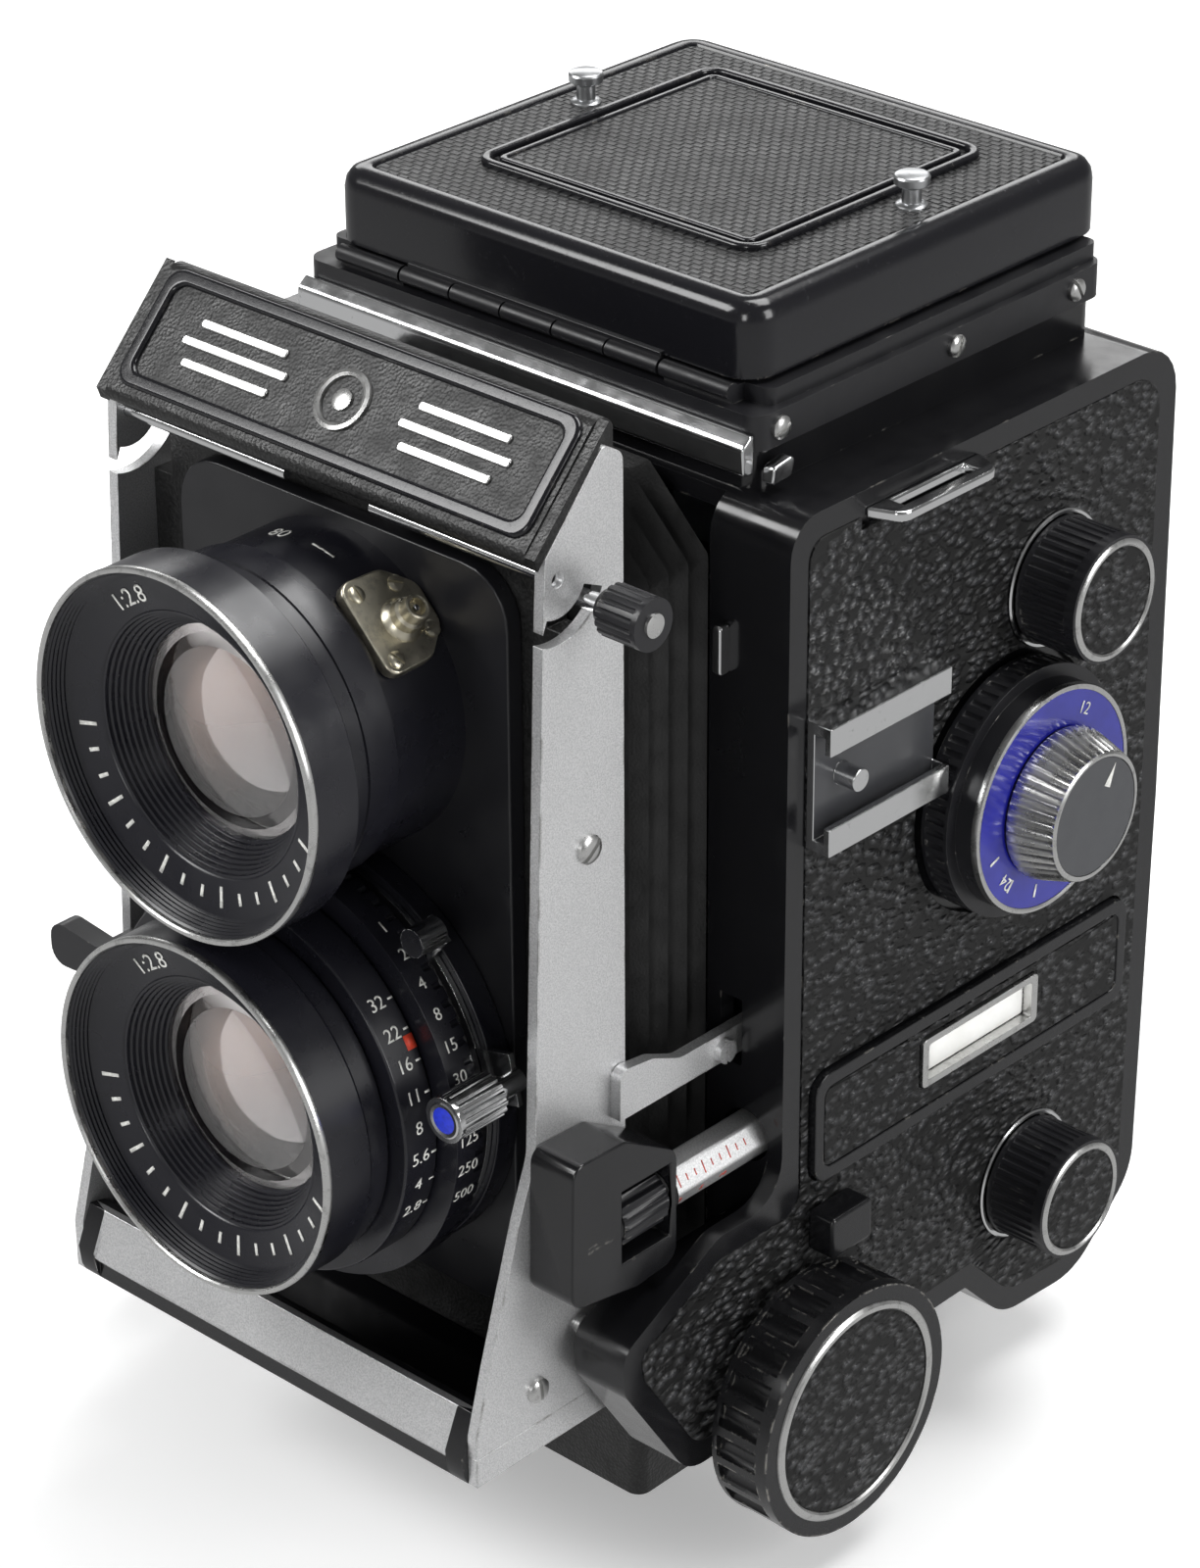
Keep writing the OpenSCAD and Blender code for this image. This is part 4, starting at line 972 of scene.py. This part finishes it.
def subdivide_loop(loop, longest):
    """Adds the same number of points on the long sides of every loop."""
    made = []
    for i, a in enumerate(loop):
        b = loop[(i + 1) % len(loop)]
        made.append(a)
        if math.dist(a, b) > longest:
            made += [(a[0] + (b[0] - a[0]) * s / 8, a[1] + (b[1] - a[1]) * s / 8)
                     for s in range(1, 8)]
    return made


# ---- Body ----


INSIDE = (
    ("mirror_glass", "mirror_silver", 0.05),
    ("mirror_holder", "satin_black", 0.1),
    ("film_gate", "satin_black", 0.2),
    ("film_roller_lower", "steel", 0.15),
    ("film_roller_upper", "steel", 0.15),
    ("focusing_screen", "screen_glass", 0.1),
    ("takeup_spool", "satin_black", 0.2),
    ("supply_spool", "satin_black", 0.2),
    ("takeup_gear", "brass", 0.06),
    ("focus_shaft", "steel", 0.05),
)


def body_parts():
    dress("body_shell", "gloss_paint", 0.9, 4)
    dress("base_block", "crinkle_paint", 0.5, 3)
    dress("tripod_bush", "steel", 0.2)
    dress("side_leathers", "leatherette", 0.35, 3)
    dress("indicator_band", "gloss_paint", 0.28, 3)
    dress("window_plate", "white_plate", 0.12, 2,
          [("worn_chrome", lambda c, n: c.x > 47.05 or n.x < 0.5)])
    dress("accessory_shoe", "chrome", 0.22, 3,
          [("grey_gloss", lambda c, n: abs(c.x - 48.4) < 0.02 and n.x > 0.9)])
    dress("strap_lugs", "chrome", 0.35, 3)
    dress("front_trim", "chrome", 0.3, 3)
    dress("focus_lock", "gloss_paint", 0.5, 3)
    for node, look_name, bevel in INSIDE:
        dress(node, look_name, bevel)
    rim("band_leather", box_outline(-14.0, 53.8, 46.4, 65.4, 1.4),
        box_outline(4.8, 56.4, 29.2, 64.3, 0.9), "x", 47.5, 48.12, "leatherette", "body", 0.15)


def back_parts():
    dress("back_door", "gloss_paint", 0.5, 3,
          [("leatherette", lambda c, n: c.y > 54.1 and n.y > 0.9)])
    dress("back_latch", "chrome", 0.2)
    for i, z in enumerate((34.0, 131.0)):
        slot_screw(f"door_screw_{i + 1}", (-34.0, z), 54.15, 1.3, 0.6, "y", "worn_chrome", "door",
                   30 + 40 * i)


def small_fittings():
    """Chrome catch on the front edge, and the hood's catch and screws on its side."""
    prism("edge_catch", box_outline(-22.8, 123.4, -20.8, 130.0, 0.7), "x", 36.2, 37.6, "chrome",
          "body", 0.3)
    prism("hood_catch", rounded([(-16.6, 147.4, 0.4), (-13.0, 147.6, 0.4), (-12.2, 150.2, 0.6),
                                 (-16.2, 149.6, 0.6)], 4), "x", 38.4, 40.2, "chrome", "body", 0.25)
    side = corners("hood_base")[1].x
    for way, label in ((1, "right"), (-1, "left")):
        for i, y in enumerate((-13.0, 20.0, 44.0)):
            made = slot_screw(f"hood_screw_{label}_{i + 1}", (y, 153.4), way * side, 1.5, 0.9, "x",
                              "worn_chrome", "body", 20 + 50 * i, way=way)
            if way == 1 and i == 0:
                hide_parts("hood_screws")


# ---- Hood ----


def hood_lid():
    """Lid shell, its leather field and raised frame, two pins and the hinge."""
    half = 35.4
    front, rear = -15.0, 53.5
    skirt, top = 158.3, 168.0

    def outline(inset):
        radius = max(4.6 - inset, 1.2)
        return box_outline(-half + inset, front + inset, half - inset, rear - inset, radius, 8)

    profile = [(1.2, 166.4), (1.2, skirt), (0.15, skirt), (0.0, skirt + 0.2), (0.0, top - 2.6),
               (0.25, top - 1.4), (0.9, top - 0.5), (1.8, top - 0.08), (2.9, top), (3.5, top - 0.1),
               (3.75, top - 0.5), (3.8, top - 0.7)]
    loops = [outline(inset) for inset, z in profile]
    points = [point_on("z", z, p) for (inset, z), loop in zip(profile, loops) for p in loop]
    count = len(loops[0])
    faces = loops_to_faces(len(profile), count, False)
    faces.append(tuple(range(count)))
    last = (len(profile) - 1) * count
    faces.append(tuple(range(last, last + count)))
    add_piece("lid_shell", points, faces, "lid_paint", "lid", stands_for=("hood_lid",))
    field_z = top - 0.7
    prism("lid_leather", outline(3.85), "z", field_z - 0.1, field_z + 0.42, "weave", "lid", 0.15)
    frame_box = (-23.6, -1.6, 23.6, 44.4)

    def frame_outline(inset):
        x0, y0, x1, y1 = frame_box
        return box_outline(x0 + inset, y0 + inset, x1 - inset, y1 - inset, max(3.4 - inset, 0.8), 6)

    for label, outer, inner, tall, bevel in (("outer", 0, 1.3, 1.25, 0.4), ("inner", 2.3, 3.2, 1.05, 0.3)):
        rim(f"lid_frame_{label}", frame_outline(outer), frame_outline(inner), "z", field_z,
            field_z + tall, "lid_paint", "lid", bevel, segments=3)
    prism("lid_panel", frame_outline(3.2), "z", field_z, field_z + 0.8, "weave", "lid", 0.1)
    pin = shifted(field_z, [(0.0, 0.0), (0.0, 2.1), (0.6, 2.05), (0.8, 1.85), (0.95, 1.25), (2.8, 1.2),
                            (3.15, 1.9), (3.4, 2.25), (4.3, 2.3), (4.55, 2.15), (4.7, 1.8),
                            (4.7, 0.0)])
    for x, label in ((27.4, "right"), (-27.4, "left")):
        lathe(f"lid_pin_{label}", pin, (x, 24.1), "z", "steel", "lid", 64)
    knuckles = []
    for i in range(5):
        x0 = -21.6 + 8.7 * i
        knuckles += [(x0, 0.0) if i == 0 else (x0, 0.75), (x0, 1.1), (x0 + 8.4, 1.1),
                     (x0 + 8.4, 0.75) if i < 4 else (x0 + 8.4, 0.0)]
    lathe("lid_hinge", knuckles, (-15.6, 157.2), "x", "hood_black", "lid", 32)
    prism("lid_tongue", box_outline(-21.4, -15.5, 21.4, -14.1, 0.3), "z", 157.3, 158.9,
          "hood_black", "lid", 0.15)


def hood_parts():
    dress("hood_base", "hood_black", 0.35, 3)
    for node in ("hood_wall_right", "hood_wall_left", "hood_wall_rear"):
        dress(node, "hood_sheet", 0.12)
    dress("magnifier", "hood_sheet", 0.3, 2,
          [("lens_glass", lambda c, n: math.hypot(c.x, c.y - 34.0) < 13.4)])
    hood_lid()


# ---- Side controls ----

SHAFT_AT = (-19.3, 23.9)
DIAL_AT = (21.5, 95.3)


def focus_knobs():
    ring = [(-0.5, 14.0), (0.2, 14.05), (0.45, 14.3), (0.45, 14.9), (0.2, 15.25), (-0.3, 15.4)]
    disc = [(-0.45, 0.0), (-0.45, 13.95), (0.05, 13.95), (0.2, 13.6), (0.28, 8.0), (0.3, 0.0)]
    for side, label in ((1, "right"), (-1, "left")):
        dress(f"focus_knob_{label}", "knob_black", 0.3, 3)
        face = corners(f"focus_knob_{label}")[1 if side == 1 else 0].x
        for name, profile, look_name in (("ring", ring, "worn_chrome"), ("leather", disc, "leatherette")):
            lathe(f"focus_{name}_{label}", shifted(face, profile, side), SHAFT_AT, "x", look_name,
                  "focus_drive")


def spool_knobs():
    ring = [(-0.4, 7.1), (0.15, 7.15), (0.35, 7.4), (0.3, 7.8), (0.05, 8.1), (-0.3, 8.15)]
    disc = [(-0.3, 0.0), (-0.3, 7.1), (0.02, 7.08), (0.14, 6.8), (0.22, 0.0)]
    seat = [(46.6, 8.9), (47.55, 9.3), (47.75, 9.1), (47.7, 8.75), (46.6, 8.6)]
    for node, body in (("spool_knob_upper", "upper_knob"), ("spool_knob_lower", "lower_knob")):
        dress(node, "satin_black", 0.12)
        centre = tuple(middle(node).yz)
        end = corners(node)[1].x
        lathe(node + "_ring", shifted(end, ring), centre, "x", "worn_chrome", body, 64)
        lathe(node + "_leather", shifted(end, disc), centre, "x", "leatherette", body, 64)
        lathe(node + "_seat", seat, centre, "x", "chrome", "body", 64)


def dial():
    dress("dial_ring", "satin_black", 0.14)
    top = corners("dial_ring")[1].x
    enamel = [(-0.3, 9.9), (0.12, 9.9), (0.12, 10.1), (0.02, 14.7), (-0.3, 14.75)]
    lathe("dial_enamel", shifted(top, enamel), DIAL_AT, "x", "blue_enamel", "dial", 128)
    edge = [(-0.6, 14.75), (0.1, 14.75), (0.2, 15.0), (0.1, 15.4), (-0.3, 15.5), (-0.8, 15.45)]
    lathe("dial_rim", shifted(top, edge), DIAL_AT, "x", "worn_chrome", "dial", 128)
    face = top + 0.13
    items = [(bar(0.35, 1.8), dial_carry(face, 12.4, degrees)) for degrees in (200, 228, 256, 284)]
    for text, degrees in (("12", 62), ("24", 222)):
        items.append((glyph(text, 2.4), dial_carry(face, 12.3, degrees)))
    marks("dial_marks", items, "white_ink", "dial")
    low, high = corners("lock_knob")
    end = high.x
    cone = [(low.x, 0.0), (low.x, 1.9), (55.45, 1.9), (55.45, 10.0), (56.0, 10.35), (57.0, 10.2)]
    cone += shifted(end, [(-0.7, 8.95), (-0.2, 8.7), (0.0, 8.4), (-0.05, 8.05), (-0.35, 8.0),
                          (-0.35, 0.0)])
    lathe("lock_cone", cone, DIAL_AT, "x", "worn_chrome", "lock",
          ripple=(44, 0.42, 55.9, end - 0.6, 5.0), stands_for=("lock_knob",))
    cap = shifted(end, [(-0.4, 0.0), (-0.4, 8.0), (-0.12, 7.95), (-0.08, 0.0)])
    lathe("lock_face", cap, DIAL_AT, "x", "grey_face", "lock", 64)
    arrow = ([(-0.85, -1.3), (0.85, -1.3), (0.0, 1.9)], [(0, 1, 2)])
    marks("lock_arrow", [(arrow, dial_carry(end - 0.05, 5.4, 60))], "white_ink", "lock")


def dial_carry(x, radius, degrees):
    """Carries a shape onto a dial face that looks along +X, with its top outward."""
    def carry(a, b):
        return (x, *around(DIAL_AT, radius + b, math.radians(degrees) - a / radius))
    return carry


def winder():
    dress("crank", "chrome", 0.15)
    dress("crank_handle", "satin_black", 0.25, 3)
    cap = shifted(corners("crank_handle")[0].x, [(0.1, 0.0), (0.1, 2.6), (-0.15, 2.4), (-0.2, 0.0)])
    lathe("crank_cap", cap, tuple(middle("crank_handle").yz), "x", "worn_chrome", "winder_handle",
          40)



# ---- Stage ----

FLOOR_HALF = 6.0
FLOOR_GLOW = 0.30
TABLE_GLOW = 0.52
SKY_GLOW = 0.16
LAMP_AIM = (0.0, 0.0, 0.08)
LAMPS = (
    ("key", (-0.75, -0.95, 1.05), (0.7, 0.7), 15.0),
    ("side", (1.25, 0.35, 0.55), (0.5, 0.7), 8.0),
    ("top", (0.1, 0.55, 1.30), (1.0, 0.6), 15.0),
    ("rear", (-0.95, 0.95, 0.62), (0.9, 0.35), 3.0),
    ("front", (0.75, -1.25, 0.55), (0.25, 0.5), 3.5),
)
CAMERA_AT = (0.37829, -0.41125, 0.38747)
CAMERA_AZIMUTH = math.radians(42.86)
CAMERA_ELEVATION = math.radians(28.33)
CAMERA_ROLL = math.radians(-0.36)
SENSOR_WIDTH = 36
FOCAL_LENGTH = 110.6


def stage():
    mesh = bpy.data.meshes.new("floor")
    corner = FLOOR_HALF
    mesh.from_pydata([(-corner, -corner, 0), (corner, -corner, 0), (corner, corner, 0),
                      (-corner, corner, 0)], [], [(0, 1, 2, 3)])
    floor = new_object("floor", mesh)
    pale = bpy.data.materials.new("floor_pale")
    pale.use_nodes = True
    fill(pale.node_tree.nodes["Principled BSDF"], Base_Color=(0.93, 0.93, 0.93, 1), Roughness=0.9,
         Emission_Color=(1, 1, 1, 1), Emission_Strength=FLOOR_GLOW)
    mesh.materials.append(pale)
    floor.visible_glossy = False


def light(name, place, size, power):
    lamp = bpy.data.lights.new(name, "AREA")
    lamp.shape = "RECTANGLE"
    lamp.size, lamp.size_y = size
    lamp.energy = power
    made = new_object(name, lamp)
    made.location = place
    made.rotation_euler = (Vector(LAMP_AIM) - Vector(place)).to_track_quat("-Z", "Y").to_euler()


def lights():
    """Soft lamps, and a world that is brighter below the horizon than above it."""
    for lamp in LAMPS:
        light(*lamp)
    world = bpy.data.worlds.new("studio")
    world.use_nodes = True
    nodes = world.node_tree.nodes
    links = world.node_tree.links
    back = fill(nodes["Background"], Color=(1, 1, 1, 1))
    parts = nodes.new("ShaderNodeSeparateXYZ")
    links.new(nodes.new("ShaderNodeTexCoord").outputs["Generated"], parts.inputs["Vector"])
    fade = fill(nodes.new("ShaderNodeMapRange"), From_Min=-0.25, From_Max=0.10, To_Min=TABLE_GLOW,
                To_Max=SKY_GLOW)
    links.new(parts.outputs["Z"], fade.inputs["Value"])
    links.new(fade.outputs["Result"], back.inputs["Strength"])
    bpy.context.scene.world = world
    bpy.context.scene.view_settings.view_transform = "Standard"


def camera():
    level = math.cos(CAMERA_ELEVATION)
    back = Vector((math.sin(CAMERA_AZIMUTH) * level, -math.cos(CAMERA_AZIMUTH) * level,
                   math.sin(CAMERA_ELEVATION)))
    right = Vector((0, 0, 1)).cross(back).normalized()
    up = back.cross(right)
    across = right * math.cos(CAMERA_ROLL) + up * math.sin(CAMERA_ROLL)
    above = up * math.cos(CAMERA_ROLL) - right * math.sin(CAMERA_ROLL)
    view = bpy.data.cameras.new("camera")
    view.sensor_width = SENSOR_WIDTH
    view.sensor_fit = "AUTO"
    view.lens = FOCAL_LENGTH
    made = new_object("camera", view)
    turn = Matrix((across, above, back)).transposed()
    made.matrix_world = Matrix.Translation(CAMERA_AT) @ turn.to_4x4()
    bpy.context.scene.camera = made


build_looks()
camera()
stage()
lights()
body_parts()
back_parts()
small_fittings()
hood_parts()
front_standard()
scale_parts()
bellows()
viewing_lens()
taking_lens()
shutter()
sync_socket()
focus_knobs()
spool_knobs()
dial()
winder()
